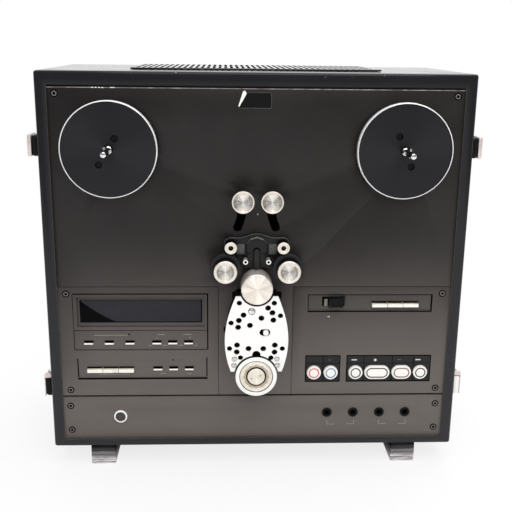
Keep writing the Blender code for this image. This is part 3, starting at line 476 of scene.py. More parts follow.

# %% [markdown]
# Turned metal carries fine rings from the lathe, and in a bright room those rings throw a fan of light and dark
# rays across the face. `spun` draws both from the distance and angle round the piece's own axis: the rings dent the
# surface, the rays are a painted reflection that shades it a little, and two painted highlights stand as bright lobes
# above and below the middle, as on a record held under a lamp. The highlight is stretched across the rings.


# %% Turned metal
def spun(name, dark, pale, rays, roughness, spacing=0.45, depth=0.01, lobes=0.3, bands=0.3, **sockets):
    made, tree, shader, place = new_material(name, Roughness=roughness, Anisotropic=0.6, **sockets)
    axis = add(tree, "Attribute", out="Vector", attribute_name="from_axis")
    angle = add(tree, "Math", [add(tree, "SeparateXYZ", (axis,), letter) for letter in "ZX"], operation="ARCTAN2")
    away = add(tree, "VectorMath", (axis, (1, 0, 1)), operation="MULTIPLY")
    metres = add(tree, "VectorMath", (away,), "Value", operation="LENGTH")
    distance = add(tree, "Math", (metres, 1 / MM), operation="MULTIPLY")
    rings = add(tree, "TexNoise", {"W": distance, "Scale": 1 / spacing, "Detail": 1.0}, noise_dimensions="1D")
    cosine, sine = [add(tree, "Math", (angle,), operation=wave) for wave in ("COSINE", "SINE")]
    inch = add(tree, "Math", (distance, 0.01), operation="MULTIPLY")
    round_about = add(tree, "CombineXYZ", (cosine, sine, inch))
    # painted reflection: the fan of rays; painted highlights: the two upright lobes
    fan = add(tree, "TexNoise", {"Vector": round_about, "Scale": rays, "Detail": 3.0})
    upright = add(tree, "Math", (add(tree, "Math", (sine,), operation="ABSOLUTE"), 3.0), operation="POWER")
    painted_rays = add(tree, "MapRange", (fan, 0.34, 0.66, 0.0, 1.0 - lobes - bands))
    banded = add(tree, "MapRange", (rings, 0.35, 0.65, 0.0, bands))
    share = add(tree, "Math", (upright, lobes, painted_rays), operation="MULTIPLY_ADD")
    layer(tree, shader, dark, (add(tree, "Math", (share, banded), operation="ADD"), pale))
    along = add(tree, "VectorMath", (away, (0, 1, 0)), operation="CROSS_PRODUCT")
    tree.links.new(along, shader.inputs["Tangent"])
    dents(tree, shader, rings, depth)
    return made


# spun aluminium caps of the tension and pinch rollers
spun_cap = spun("spun_aluminium", "6A615B", "FFFCF6", 3.0, 0.38, 0.9, lobes=0.5, bands=0.2, Metallic=0.4)
# the same caps where a groove keeps the light off
spun_shade = spun("shaded_aluminium", "4F4741", "FFF8F0", 3.4, 0.42, 0.9, lobes=0.6, bands=0.15, Metallic=0.3)
# ground steel of the capstan
ground_steel = spun("ground_steel", "CDC1B6", "FFF8EF", 2.6, 0.25, 0.3, bands=0.1, Metallic=0.6)
# turned aluminium of the guide rollers and the return roller
turned_aluminium = spun("turned_aluminium", "D3C7B4", "FFFAF0", 2.2, 0.34, Metallic=0.4)
# a brownish tan on the notched ring of the return roller, and painted shade on the step of a selector
tan_and_painted_shade = grained("tan_and_painted_shade", "AD9F8C", "CBBDA9", 1.2, 0.004, 0.4, Metallic=0.5)
# the dark lacquer of the reel tables
table_black = spun("table_lacquer", "0A0A0F", "111117", 2.0, 0.42, 0.8, 0.02, Specular_IOR_Level=0.33)
print(len(bpy.data.materials), "materials")

# %% [markdown]
# The deck was photographed on a white sweep, from a little above and almost straight on. The camera's place and
# angle come from the four front corners of the case. The lamps are soft and of plain strength, and the floor's
# white comes from what the camera sees, so that the light on the deck stays plain. The room behind the camera is
# dimmer than the sweep, which gives the turned metal its light and dark.


# %% Floor, light and camera
def make_floor():
    only()
    bpy.ops.mesh.primitive_plane_add(size=12)
    floor = placed("floor")
    made, tree, shader, place = new_material("white_sweep", Roughness=0.9)
    layer(tree, shader, "F2F2F2", (grains(tree, place, 20.0), "F6F6F6"))
    glow = add(tree, "Emission", {"Color": light("FFFFFF"), "Strength": 1.0})
    # close to the deck a little of the floor's own shade is left, for its shadow
    away = add(tree, "VectorMath", (place,), "Value", operation="LENGTH")
    share = add(tree, "MapRange", (away, 250.0, 700.0, 0.8, 1.0))
    seen = add(tree, "LightPath", out="Is Camera Ray")
    share = add(tree, "Math", (share, seen), operation="MULTIPLY")
    mixed = add(tree, "MixShader", (share, shader.outputs[0], glow))
    tree.links.new(mixed, tree.nodes["Material Output"].inputs["Surface"])
    floor.data.materials.append(made)


def make_world():
    world = bpy.data.worlds.new("studio")
    bpy.context.scene.world = world
    world.use_nodes = True
    tree = world.node_tree
    seen = [add(tree, "LightPath", out="Is %s Ray" % kind) for kind in ("Camera", "Transmission", "Glossy")]
    ahead = add(tree, "SeparateXYZ", (add(tree, "TexCoord", out="Generated"),), "Y")
    mirrored = add(tree, "MapRange", (ahead, 0.3, 0.8, 0.0, seen[2]))
    plain = add(tree, "Math", seen[:2], operation="MAXIMUM")
    plain = add(tree, "Math", (plain, mirrored), operation="MAXIMUM")
    colour = (0.3, 0.3, 0.3, 1)
    for share, over in ((add(tree, "MapRange", (ahead, -0.75, 0.1)), (0.85, 0.85, 0.86, 1)), (plain, (1, 1, 1, 1))):
        colour = add(tree, "Mix", {0: share, 6: colour, 7: over}, 2, data_type="RGBA")
    tree.links.new(colour, tree.nodes["Background"].inputs["Color"])


def make_lamp(name, place, aim, size, power):
    only()
    bpy.ops.object.light_add(type="AREA", location=place)
    lamp = bpy.context.object
    lamp.name = name
    lamp.data.size = size
    lamp.data.energy = power
    lamp.rotation_euler = (Vector(aim) - Vector(place)).to_track_quat("-Z", "Y").to_euler()


def make_camera():
    yaw, pitch, roll = [math.radians(a) for a in (2.407, -15.019, 0.652)]
    ahead = Vector((math.sin(yaw) * math.cos(pitch), math.cos(yaw) * math.cos(pitch), math.sin(pitch)))
    level = Vector((math.cos(yaw), -math.sin(yaw), 0))
    upright = level.cross(ahead)
    right = math.cos(roll) * level + math.sin(roll) * upright
    up = math.cos(roll) * upright - math.sin(roll) * level
    only()
    bpy.ops.object.camera_add()
    camera = bpy.context.object
    turn = Matrix((right, up, -ahead)).transposed().to_4x4()
    camera.matrix_world = Matrix.Translation(at(-37.68, -885.9, 477.25)) @ turn
    camera.data.lens = 56.25
    camera.data.sensor_width = 36
    camera.data.clip_start = 0.05
    bpy.context.scene.camera = camera


make_floor()
make_world()
make_lamp("key_lamp", (0.15, -1.6, 1.9), (0, 0, 0.2), 1.8, 30)
make_lamp("top_lamp", (0.5, 0.4, 2.2), (0, 0.1, 0.2), 2.0, 22)
make_camera()
bpy.context.scene.view_settings.view_transform = "Standard"
print("camera at", [round(value, 3) for value in bpy.context.scene.camera.location])

# %% [markdown]
# The case is a plywood box covered in leathercloth and open at the front. A narrow ledge runs round behind the rim,
# and the metal panels are screwed to it. The box is cut from one block with its outer edges rounded first, so that
# the cutters leave the inner edges crisp, as the turned-in cloth does. A slot at the top lets the warm air out and a
# small window behind takes the mains inlet.

# %% Case
case = soften(box("case_body", (-242, 0, 0), (242, 230, 445)), 3, 4)
rooms = {
    "front_room": ((-229.45, -5, 9.3), (229.45, 6.3, 430.4)),
    "ledge_room": ((-220.8, 0, 18), (220.8, 221, 419.3)),
    "back_room": ((-229.8, 22.3, 9), (229.8, 221, 428.3)),
    "vent_hole": ((-139.5, 54, 420), (139.5, 186, 450)),
    "inlet_hole": ((-163.8, 215, 50.2), (-136.2, 235, 69.8)),
    "inlet_rim": ((-171.3, 227.2, 46.7), (-128.7, 235, 73.3)),
}
carve(case, *[box(name, *corners) for name, corners in rooms.items()])
soften(case, 0.7, 2, 60)


def painted_light_in_opening(c, n):
    """The sides and the bottom of the front opening, painted paler as painted light on faces that lie in the rim's
    shade.
    """
    return c.y < 6.4 and (abs(n.x) > 0.9 and 229 < abs(c.x) < 230 or n.z > 0.9 and 9 < c.z < 9.8)


done(case, leathercloth, stands_for=["case_shell"], coats=[(grey_and_painted_light, painted_light_in_opening)])

# %% [markdown]
# Two black blocks on each side carry the draw latches that hold the front cover. Each block is a moulding with
# a round outer corner. The latch itself is a folded steel lever that turns on a pin at the block's rear end, and its
# front edge shows beside the block. The lower latches show the round end of their bail too, and the one on the right
# has a bright strike plate.


# %% Latches
def latch(level, height, reach, side, word):
    half_width = 11.75
    low, high = height - half_width, height + half_width
    name, body = "%s_%s" % (level, word), "latch_%s_%s" % (level, word)
    block = soften(box("latch_block_" + name, (242, 8, low), (250, 34, high)), 3.2, 5, 80)
    lever = box("lever_" + name, (250.4, 8.4, low), (reach, 34, high))
    carve(lever, box("lever_room", (250, 10, low + 1.2), (reach - 0.8, 40, high - 1.2)))
    soften(lever, 0.4, 2)
    pieces = [(block, moulded_black, "deck", []), (lever, latch_zinc, body, [body])]
    if level == "lower":
        bail = sheet("bail_" + word, stadium(247, height + 14.4, 2.9, 3.4), 8, 12)
        pieces.append((soften(bail, 0.9, 3), latch_zinc, body, []))
        if side > 0:
            strike = box("strike_plate", (243.3, 6.6, low + 1), (249.6, 8, high - 0.4))
            pieces.append((soften(strike, 0.5, 2), satin_plate, "deck", []))
    for obj, material, body, stands_for in pieces:
        if side < 0:
            flip(obj, obj.name)
        done(obj, material, body, stands_for)


for level, height, reach in (("upper", 363.1, 254.6), ("lower", 74.6, 251.6)):
    for side, word in SIDES:
        latch(level, height, reach, side, word)

# %% [markdown]
# Two folded steel runners carry the case. The front of each is a bright face with four horizontal creases from the
# folding, and it is dark where it runs up into the case's shadow.


# %% Feet
def make_foot_steel():
    """Bright folded steel that goes nearly black towards the case, with streaks along the folds."""
    made, tree, shader, place = new_material("foot_steel", Roughness=0.25, Metallic=0.7)
    streaks = grains(tree, place, 1.6, 3.0, (7, 1, 1))
    level = add(tree, "Math", (streaks, 3.0, add(tree, "SeparateXYZ", (place,), "Z")), operation="MULTIPLY_ADD")
    shades = [(add(tree, "MapRange", (streaks, 0.38, 0.6)), "F9F5F5")]
    for low, high, shade in ((10.5, 12.0, "898587"), (17.0, 19.0, "3B3A3E"), (21.8, 23.2, "0B0B0D")):
        shades.append((add(tree, "MapRange", (level, low, high)), shade))
    layer(tree, shader, "B4AEB0", *shades)
    return made


foot_steel = make_foot_steel()
for side, word in SIDES:
    runner = soften(box("foot_runner_" + word, (169.25, 2, -FOOT), (198.75, 224, -0.3)), 1.6, 3)
    hollow = box("hollow", (172.25, 5, -30), (195.75, 221, -3.3))
    creases = [box("crease", (160, 1, z), (210, 2.6, z + 0.6)) for z in (-22.2, -19.6, -16.6, -12.6)]
    carve(runner, hollow, *creases)
    soften(runner, 0.25, 2, 60)
    if side < 0:
        flip(runner, runner.name)
    done(runner, foot_steel, stands_for=["foot_" + word])

# %% [markdown]
# The grille on the top is a pressed plate with a row of narrow slots. One slot cutter is modelled and repeated
# with an array, so that all the slots come out in one cut.

# %% Vent grille
SLOTS, SLOT_PITCH = 41, 6.75
grille = soften(box("vent_plate", (-143.5, 50, 445.3), (143.5, 190, 447.3)), 0.5, 2)
slot = box("slots", (-138.1, 55, 440), (-134.7, 185, 450))
row = slot.modifiers.new("Row", "ARRAY")
row.count = SLOTS
row.use_relative_offset = False
row.use_constant_offset = True
row.constant_offset_displace = (SLOT_PITCH * MM, 0, 0)
apply(slot, row)
done(carve(grille, slot), grille_black, stands_for=["vent_grille"])

# %% [markdown]
# The deck plate is a T of painted aluminium sheet: the wide part carries the reels and the tongue runs down between
# the two control panels. It has a hole for each reel hub, a curved slot for each tension arm, and holes for the
# capstan and the pinch arms. The slots follow an arc round each arm's pivot. All the panels lie between the same
# two Y, and the places named here are those of the moving pieces on the right side.

# %% Deck plate
FACE, BACK, EDGE = 3, 6, 229.3
SEAM, LOW_SEAM = 201.75, 65.8
REEL, PINCH_SHAFT, CAPSTAN, RETURN = (163, 361.4), (43.22, 216.08), (0, 208), (0, 103.9)
PIVOT, REACH = (85.5, 300.2), 69.6
REST, END = math.radians(5), math.radians(-23.6)
TONGUE = 43.35


def arc_slot(name, half, steps=14):
    """The outline round an arc: out along one side, round the end, and back along the other."""
    corners = []
    middle = beside(-1, PIVOT)
    for first, last, reach, cap in ((END, REST, REACH + half, 0), (REST, END, REACH - half, math.pi)):
        corners += [around(*middle, reach, first + (last - first) * i / steps) for i in range(steps)]
        end = around(*middle, REACH, last)
        corners += [around(*end, half, last + cap + math.pi * i / steps) for i in range(steps)]
    return sheet(name, corners, -2, 8)


tee = [(-EDGE, 427.8), (-EDGE, SEAM), (-TONGUE, SEAM), (-TONGUE, LOW_SEAM)]
plate = sheet("deck_panel", tee + [(-x, z) for x, z in reversed(tee)], FACE, BACK)
slot = arc_slot("slot", 5)
holes = [slot, twin(slot, "slot_twin")]
for side, word in SIDES:
    holes.append(rod("hub_hole", 12, -2, 8, *beside(side, REEL)))
    holes.append(rod("pinch_hole", 3.9, -2, 8, *beside(side, PINCH_SHAFT)))
holes.append(rod("capstan_hole", 7, -2, 8, *CAPSTAN))
carve(plate, *holes)
soften(plate, 0.35, 2, 60)
pin = rod("return_pin", 5, -24.7, 5.6, *RETURN)
studs = [rod("arm_stud", 3, 3.4, 13, *beside(side, PIVOT)) for side, word in SIDES]
done(gather("fixed_pins", [pin, *studs]), chrome)
done(plate, panel_paint, stands_for=["deck_plate"])

# %% [markdown]
# The left panel holds the display. A picture-frame bevel leads in to the window, a shallow bay below holds six small
# keys, and a second bay that deepens downwards holds the selectors and three more keys. Each key comes through a hole
# with room above it, which is the black gap seen over every key.

# %% Left panel
KEYS = {}
for i in range(3):
    KEYS["option_key_%d" % (i + 1)] = (-196 + 24.15 * i, 132.5)
    KEYS["adjust_key_%d" % (i + 1)] = (-116.1 + 18.6 * i, 132.5)
    KEYS["timer_key_%d" % (i + 1)] = (-115.5 + 18.6 * i, 99.6)
SELECTOR_ROW = (55.5, 6.4, 0.6)


def funnel(name, outer, inner, near, far):
    """A block from one rectangle at Y near to another at Y far. Rectangles are (left, right, bottom, top)."""
    obj = box(name, (outer[0], near, outer[2]), (outer[1], far, outer[3]))
    bpy.ops.object.mode_set(mode="EDIT")
    bpy.ops.mesh.select_all(action="DESELECT")
    mesh = bmesh.from_edit_mesh(obj.data)
    for face in mesh.faces:
        face.select = face.normal.y > 0.9
    bmesh.update_edit_mesh(obj.data)
    shares = [(inner[i + 1] - inner[i]) / (outer[i + 1] - outer[i]) for i in (0, 2)]
    fixed = [(inner[i] - s * outer[i]) / (1 - s) for i, s in zip((0, 2), shares)]
    centre = at(fixed[0], far, fixed[1])
    bpy.ops.transform.resize(value=(shares[0], 1, shares[1]), center_override=centre)
    bpy.ops.object.mode_set(mode="OBJECT")
    return obj


def key_hole(x, z, width, height, room):
    half = width / 2 + 0.3
    return box("key_hole", (x - half, -2, z - height / 2 - 0.3), (x + half, 8, z + height / 2 + room))


def bays(*sizes):
    """Shallow cuts from the front, each (left, right, bottom, top, depth)."""
    return [box("bay", (x0, 1, z0), (x1, deep, z1)) for x0, x1, z0, z1, deep in sizes]


def dark_lines(panel, lines):
    """Cuts a narrow groove for each (left, right, bottom, top), and gives the coat that paints it black as painted
    shade.
    """
    carve(panel, *[box("line", (x0, 2, z0), (x1, 4.4, z1)) for x0, x1, z0, z1 in lines])
    soften(panel, 0.22, 2, 60)

    def groove_shade(c, n):
        inside = [x0 - 0.05 < c.x < x1 + 0.05 and z0 - 0.05 < c.z < z1 + 0.05 for x0, x1, z0, z1 in lines]
        return c.y > 3.15 and any(inside)

    return [(black_and_painted_shade, groove_shade)]


left = box("left_control_panel", (-EDGE, FACE, LOW_SEAM), (-43.85, BACK, 201.1))
cuts = bays((-205.1, -62.7, 157, 185, 8), (-212.4, -57, 148.2, 192, 3.3))
cuts.append(funnel("bezel", (-208.2, -59.6, 152.2, 188.6), (-204.9, -62.9, 157.2, 184.8), 3.2, 5.6))
cuts += bays((-212.4, -57, 124, 147.6, 3.8))
wedge = box("timer_bay", (-210.4, 2, 87.5), (-57, 4.5, 114.2))
for vertex in wedge.data.vertices:
    if vertex.co.y > at(0, 3, 0).y and vertex.co.z > at(0, 0, 100).z:
        vertex.co.y = at(0, 2.99, 0).y
cuts.append(wedge)
cuts += [key_hole(x, z, 10.4, 3, 1.3) for x, z in KEYS.values()]
cuts.append(key_hole(-171.3, 98.6, *SELECTOR_ROW))
cuts += [rod("lamp_hole", 1.1, 1, 5, x, z, 20) for x, z in ((-148.5, 143), (-97.1, 110.3))]
carve(left, *cuts)
lines = [(-212.4, -55.5, 192, 193.5), (-57, -55.5, 123.9, 192), (-212.4, -57, 147.5, 148.3)]
lines += [(-212.4, -57, 123.3, 123.9), (-210.4, -209.1, 87.5, 112.8), (-210.4, -56.7, 86.1, 87.5)]
lines += [(-58.1, -56.7, 87.5, 113.6), (-213, -212.4, 123.9, 192)]
coats = dark_lines(left, lines)
done(left, panel_paint, stands_for=["left_panel"], coats=coats)

# %% [markdown]
# The right panel carries the transport controls. A long shallow bay at the top holds the slide switch and three
# selectors, and two sunk places below take the black plates round the six transport keys. The plates are mouldings
# with a fine groove between the keys and another across the top.

# %% Right panel and its key plates
TRANSPORT_HEIGHT = 94
TRANSPORT = {
    "record_key": (70.7, 0),
    "pause_key": (90.9, 0),
    "rewind_key": (120.9, 0),
    "stop_key": (146.8, 13.5),
    "play_key": (176.4, 6.6),
    "forward_key": (199.2, 0),
}


def transport_holes():
    outlines = [stadium(x, TRANSPORT_HEIGHT, 8.8, stretch) for x, stretch in TRANSPORT.values()]
    return [sheet("hole", outline, -2, 8) for outline in outlines]


right = box("right_control_panel", (43.85, FACE, LOW_SEAM), (EDGE, BACK, 201.1))
cuts = bays((61.8, 207.5, 172, 191, 4.2), (60.4, 102.2, 82.2, 115.2, 4), (110, 211.5, 82.2, 115.2, 4))
cuts.append(key_hole(164.4, 179.3, *SELECTOR_ROW))
cuts += bays((78, 104.6, 177.2, 189, 8))
carve(right, *cuts, *transport_holes())
lines = [(61.2, 62.2, 170.8, 192), (61.2, 208.5, 190.8, 192), (206.9, 208.5, 170.8, 192)]
lines.append((61.2, 208.5, 170.2, 171.8))
for low, high in ((60, 102.4), (109.6, 211.9)):
    lines += [(low, low + 1.4, 81.6, 115.6), (high - 1.4, high, 81.6, 115.6)]
    lines += [(low, high, 114.4, 115.8), (low, high, 81.4, 82.8)]
coats = dark_lines(right, lines)
done(right, panel_paint, stands_for=["right_panel"], coats=coats)

for name, low, high, between in (
    ("record_key_plate", 60.6, 102.0, [81.6]),
    ("motion_key_plate", 110.2, 211.3, [130.9, 165, 190.8]),
):
    surround = box(name, (low + 0.6, 3.05, 82.8), (high - 0.6, 3.95, 114.4))
    grooves = [box("groove", (x - 0.4, 1, 80), (x + 0.4, 3.5, 117)) for x in between]
    grooves.append(box("groove", (low - 2, 1, 105.1), (high + 2, 3.5, 105.7)))
    carve(surround, *transport_holes(), *grooves)
    # painted shade: the faces inside the key holes and grooves are painted black
    done(surround, plate_black, coats=[(black_and_painted_shade, lambda c, n: c.y > 3.2)])

# %% [markdown]
# The lower strip carries the power button and four jacks. It is a plain painted strip, so the work is in its holes.

# %% Lower strip
BUTTON, JACK_HEIGHT = (-161.5, 38.2), 41.4
JACKS = (88.2, 120.1, 152.2, 183.9)
strip = box("lower_panel", (-EDGE, FACE, 9.5), (EDGE, BACK, 63.6))
cuts = [rod("jack_hole", 5.6, 1, 8, x, JACK_HEIGHT) for x in JACKS]
cuts.append(rod("button_hole", 6.6, 1, 8, *BUTTON))
carve(strip, *cuts)
soften(strip, 0.3, 2, 60)
done(strip, panel_paint, stands_for=["lower_strip"])

# %% [markdown]
# The screws of the panels are blackened and have a hexagon socket. The raised ring round the socket is worn to bare
# grey, while the socket and the washer's groove stay black. One screw is modelled and the rest are copies.

# %% Panel screws
SCREWS = [(221, 420.7), (219.7, 193), (219.6, 72.8), (220.8, 52.2), (220.6, 20.8)]
steps = [(4.2, 3.3), (4.2, 2.9), (3.6, 2.5), (3.3, 2.5), (3.1, 3.0), (2.7, 2.6), (1.8, 2.6), (1.6, 2.8)]
first = turned("screw", 0, 0, steps, 32)
carve(first, rod("socket", 1.35, 2, 2.93, 0, 0, 6))
soften(first, 0.08, 1, 40)
paint(first, screw_face, [(black_and_painted_shade, lambda c, n: not 1.75 < math.hypot(c.x, c.z) < 2.75)])
screws = [again(first, "screw", *beside(side, place)) for place in SCREWS for side, word in SIDES]
bpy.data.objects.remove(first)
done(gather("panel_screws", screws), screw_face)

# %% [markdown]
# The smoked acrylic window shows nothing behind it, for the display is off. It reflects a pale room, and one dark
# corner of that reflection is painted in as a painted reflection with a soft edge, with painted shade along three
# edges.


# %% Display window
def make_smoked():
    made, tree, shader, place = new_material("smoked_acrylic", Roughness=0.2, Specular_IOR_Level=0.05)
    x, z = [add(tree, "SeparateXYZ", (place,), letter) for letter in "XZ"]
    # painted reflection: the dark corner at the lower left, under a line that falls from the upper left and flattens
    run = add(tree, "MapRange", (x, -204.0, -158.0, 1.0, 0.0))
    fall = add(tree, "Math", (run, 1.35), operation="POWER")
    line = add(tree, "Math", (fall, 27.0, 182.2), operation="MULTIPLY_ADD")
    edge = add(tree, "Math", (z, line), operation="SUBTRACT")
    # each range adds its own dark margin to the ones before: painted shade along the lower, right and left edges, then
    # the painted reflection's corner
    dark = 0.0
    for value, outer, inner in ((z, 183.2, 183.9), (x, -63.8, -64.4), (x, -203.7, -202.9), (edge, -0.4, 0.4)):
        dark = add(tree, "MapRange", (value, outer, inner, 1.0, dark))
    layer(tree, shader, "2E2E32", (grains(tree, place, 8.0), "35353A"), (dark, "020203"))
    return made


window = soften(box("window_pane", (-204.8, 4.6, 157.3), (-63, 8.5, 184.7)), 0.3, 2)
done(window, make_smoked(), stands_for=["display_window"])

# %% [markdown]
# A reel table is a lacquered disc with a bright polished rim and two small holes. Its spindle stands out of the
# middle: a round post with three lugs that lock a reel's hub. The table is turned in one piece down to the hub behind
# the plate. It rides on the shaft of its own motor.

# %% Reel tables
SPOTS = {"left": ((6.9, 12.5), (-10.9, -16.2)), "right": ((-7.4, 16.4), (7.1, -16.7))}
for side, word in SIDES:
    x, z = beside(side, REEL)
    name = "reel_table_" + word
    steps = [(5, 58.3), (5, 8.9), (10, 8.9), (10, -4), (52.6, -4), (53.3, -4.7), (53.3, -11.1), (52.5, -11.9)]
    steps += [(52.1, -11.9), (51.4, -11.1), (4.6, -11.1)]
    disc = turned("table_disc_" + word, x, z, steps, 128)
    carve(disc, *[rod("spot", 4.1, -14, -8.5, x + dx, z + dz, 32) for dx, dz in SPOTS[word]])
    # painted shade: the insides of the two holes are painted a duller black
    coats = [(polished_rim, ring(x, z, 52, back=-3)), (moulded_black, ring(x, z, 6, 30, -11))]
    done(disc, table_black, name, [name], (x, z), coats=coats)
    steps = [(4.2, -11.0), (4.2, -13), (3.2, -13.5), (3.2, -49.6), (3.0, -50.6), (2.4, -51)]
    post = turned("reel_spindle_" + word, x, z, steps, 40)
    for i in range(3):
        lug = soften(box("lug", (-1.1, -26, 0), (1.1, -12, 5.6)), 0.3, 2)
        weld(post, swung(lug, 2 * math.pi * i / 3 - 0.6 * side, x, z))
    done(post, casting_black, name, coats=[(chrome, lambda c, n: n.y < -0.6)])

# %% [markdown]
# Each tension arm is a steel bar behind the plate with a post that comes through the slot. The tape roller turns on
# the post: a waisted body with a wide spun cap in front. At rest both arms stand at the top of their slots.

# %% Tension arms and rollers
for side, word in SIDES:
    x, z = beside(side, (16.165, 306.27))
    name, pivot = "tension_arm_" + word, beside(side, PIVOT)
    arm = sheet("arm_bar_" + word, bar(pivot, (x, z), 7, 4.5), 8, 11)
    carve(arm, rod("bore", 3.4, 6, 13, *pivot))
    weld(arm, rod("post", 3.5, -8.7, 10.6, x, z, 32), rod("pin", 1.8, -21.7, -8.8, x, z, 24))
    soften(arm, 0.3, 2, 50)
    done(arm, rolled_steel, name, [name])
    steps = [(2.2, -22), (2.2, -9), (8.7, -9), (9, -9.3), (9, -10.5), (7, -10.9), (7, -21.6), (12.1, -21.8)]
    steps += [(12.4, -22.1), (12.4, -24.6), (12.0, -25), (11.0, -25), (9.7, -24), (9.4, -24.3), (7.6, -23.8)]
    steps += [(7.3, -24.1), (5.2, -23.7), (4.9, -24.0), (1.0, -23.7)]
    cap = turned("tape_roller_" + word, x, z, steps)
    coats = [(turned_aluminium, ring(x, z, 10.9, back=-22)), (spun_shade, ring(x, z, 7.3, 10.9, back=-22))]
    name = "tension_roller_" + word
    done(cap, spun_cap, name, [name], (x, z), coats=coats)

# %% [markdown]
# The head block is a black casting that spreads to two round ears. A guide roller turns on a pin on each ear, two
# hollow posts with coil springs lead the tape below them, and a rib with a round top runs down to the capstan.
# A ribbed dome covers the middle. The casting is one outline from sheet, with the dome and the pins welded on.

# %% Head block
EAR, TAPE_POST = (29.5, 254.2), (13, 237.6)
SHARES = [(0.0, 1.0), (0.14, 0.985), (0.30, 0.935), (0.47, 0.885), (0.60, 0.878), (0.72, 0.885), (0.80, 0.895)]
SHARES += [(0.88, 0.875), (0.95, 0.82), (0.99, 0.74), (1.0, 0.66), (0.975, 0.58), (0.92, 0.52), (0.84, 0.485)]
SHARES += [(0.72, 0.47), (0.58, 0.47), (0.45, 0.46), (0.40, 0.40), (0.40, 0.04), (0.36, 0.0)]
half_block = [(37.5 * a, 226.8 + 40.8 * b) for a, b in SHARES]
whole = half_block + [(-a, b) for a, b in reversed(half_block[1:])]
block = soften(sheet("head_casting", whole, -7.5, 2.7), 1.0, 3, 25)
outline = [(12.6, 245), (12.2, 256), (8, 261.8), (0, 264.6), (-8, 261.8), (-12.2, 256), (-12.6, 245)]
dome = soften(sheet("dome", outline, -10.5, -7), 1.4, 3, 25)
weld(block, dome, *[rod("pin", 2.3, -19, -7, *beside(side, EAR), 32) for side, word in SIDES])
carve(block, *[box("rib", (-9.6 + 2.4 * i, -12, 247), (-9.1 + 2.4 * i, -10.1, 258)) for i in range(9)])
carve(block, sheet("rib_gap", bar((0, 247.5), (0, 224), 4.7, 4.7), -12, -6.6))
# painted highlights: the bevels that face up and forward on the ears and the dome are painted grey, and the top of the
# dome a paler grey
coats = [
    (grey_and_painted_light, lambda c, n: -0.92 < n.y < -0.25 and n.z > 0.1 and c.y < -6.6 and c.z > 248),
    (dim_grey_and_highlight, lambda c, n: n.z > 0.2 and c.y < -7.5 and c.z > 259 and abs(c.x) < 8),
]
done(block, casting_black, stands_for=["head_block"], angle=50, coats=coats)
rib = soften(sheet("centre_rib", bar((0, 246.8), (0, 230), 3.5, 3.5), -13, -6.5), 1.1, 3, 40)
done(rib, screw_black)
side_plate = box("side_plate", (14, -8.4, 243.6), (23, -7.2, 255.4))
plates = gather("side_plates", [side_plate, twin(side_plate, "side_plate")])
done(soften(plates, 0.3, 2), grey_and_painted_light)

# %% [markdown]
# The posts are turned tubes, and their springs are four plain rings each, as the pitch is too fine to see.

# %% Tape posts and their springs
posts, coils = [], []
steps = [(2.2, -7.2), (2.2, -20.2), (2.8, -20.3), (2.8, -21), (1.5, -21), (1.4, -17)]
for side, word in SIDES:
    x, z = beside(side, TAPE_POST)
    posts.append(turned("post", x, z, steps, 36))
    for i in range(4):
        bpy.ops.mesh.primitive_torus_add(
            major_segments=28,
            minor_segments=8,
            major_radius=2.3 * MM,
            minor_radius=0.3 * MM,
            location=at(x, -9.5 - 2.4 * i, z),
            rotation=LYING,
        )
        coils.append(placed("coil"))
# painted shade: each post is painted black behind its front ring and in the middle of its bore
shaded = [(black_and_painted_shade, lambda c, n: c.y > -20.2 or math.hypot(abs(c.x) - TAPE_POST[0], c.z - TAPE_POST[1]) < 1.5)]
done(gather("tape_posts", posts), polished_rim, angle=50, coats=shaded)
done(gather("post_coils", coils), rolled_steel, angle=50)

# %% [markdown]
# The guide rollers are flanged and bright in front; behind, where the block keeps the light off, they are painted black
# as painted shade, and so is the bore.

# %% Guide rollers
for side, word in SIDES:
    x, z = beside(side, EAR)
    steps = [(6.6, -9), (6.9, -9.3), (6.9, -10.6), (5.2, -11), (5.2, -21), (6.9, -21.4), (6.9, -22.7), (6.6, -23)]
    steps += [(4.2, -23), (3.9, -22.7), (2.8, -22.7), (2.8, -9.1)]
    roller = carve(turned("guide_" + word, x, z, steps, 56), rod("bore", 2.75, -25, -5, x, z, 40))
    shaded = [(black_and_painted_shade, lambda c, n: math.hypot(c.x - x, c.z - z) < 3.0 or c.y > -22.6)]
    name = "guide_roller_" + word
    done(roller, turned_aluminium, name, [name], (x, z), coats=shaded)

# %% [markdown]
# A pinch roller is a thick black rubber tyre on a bearing, with a spun cap in front. Its short arm is a black casting
# that turns on a shaft through the plate. Both stand just clear of the capstan at rest.

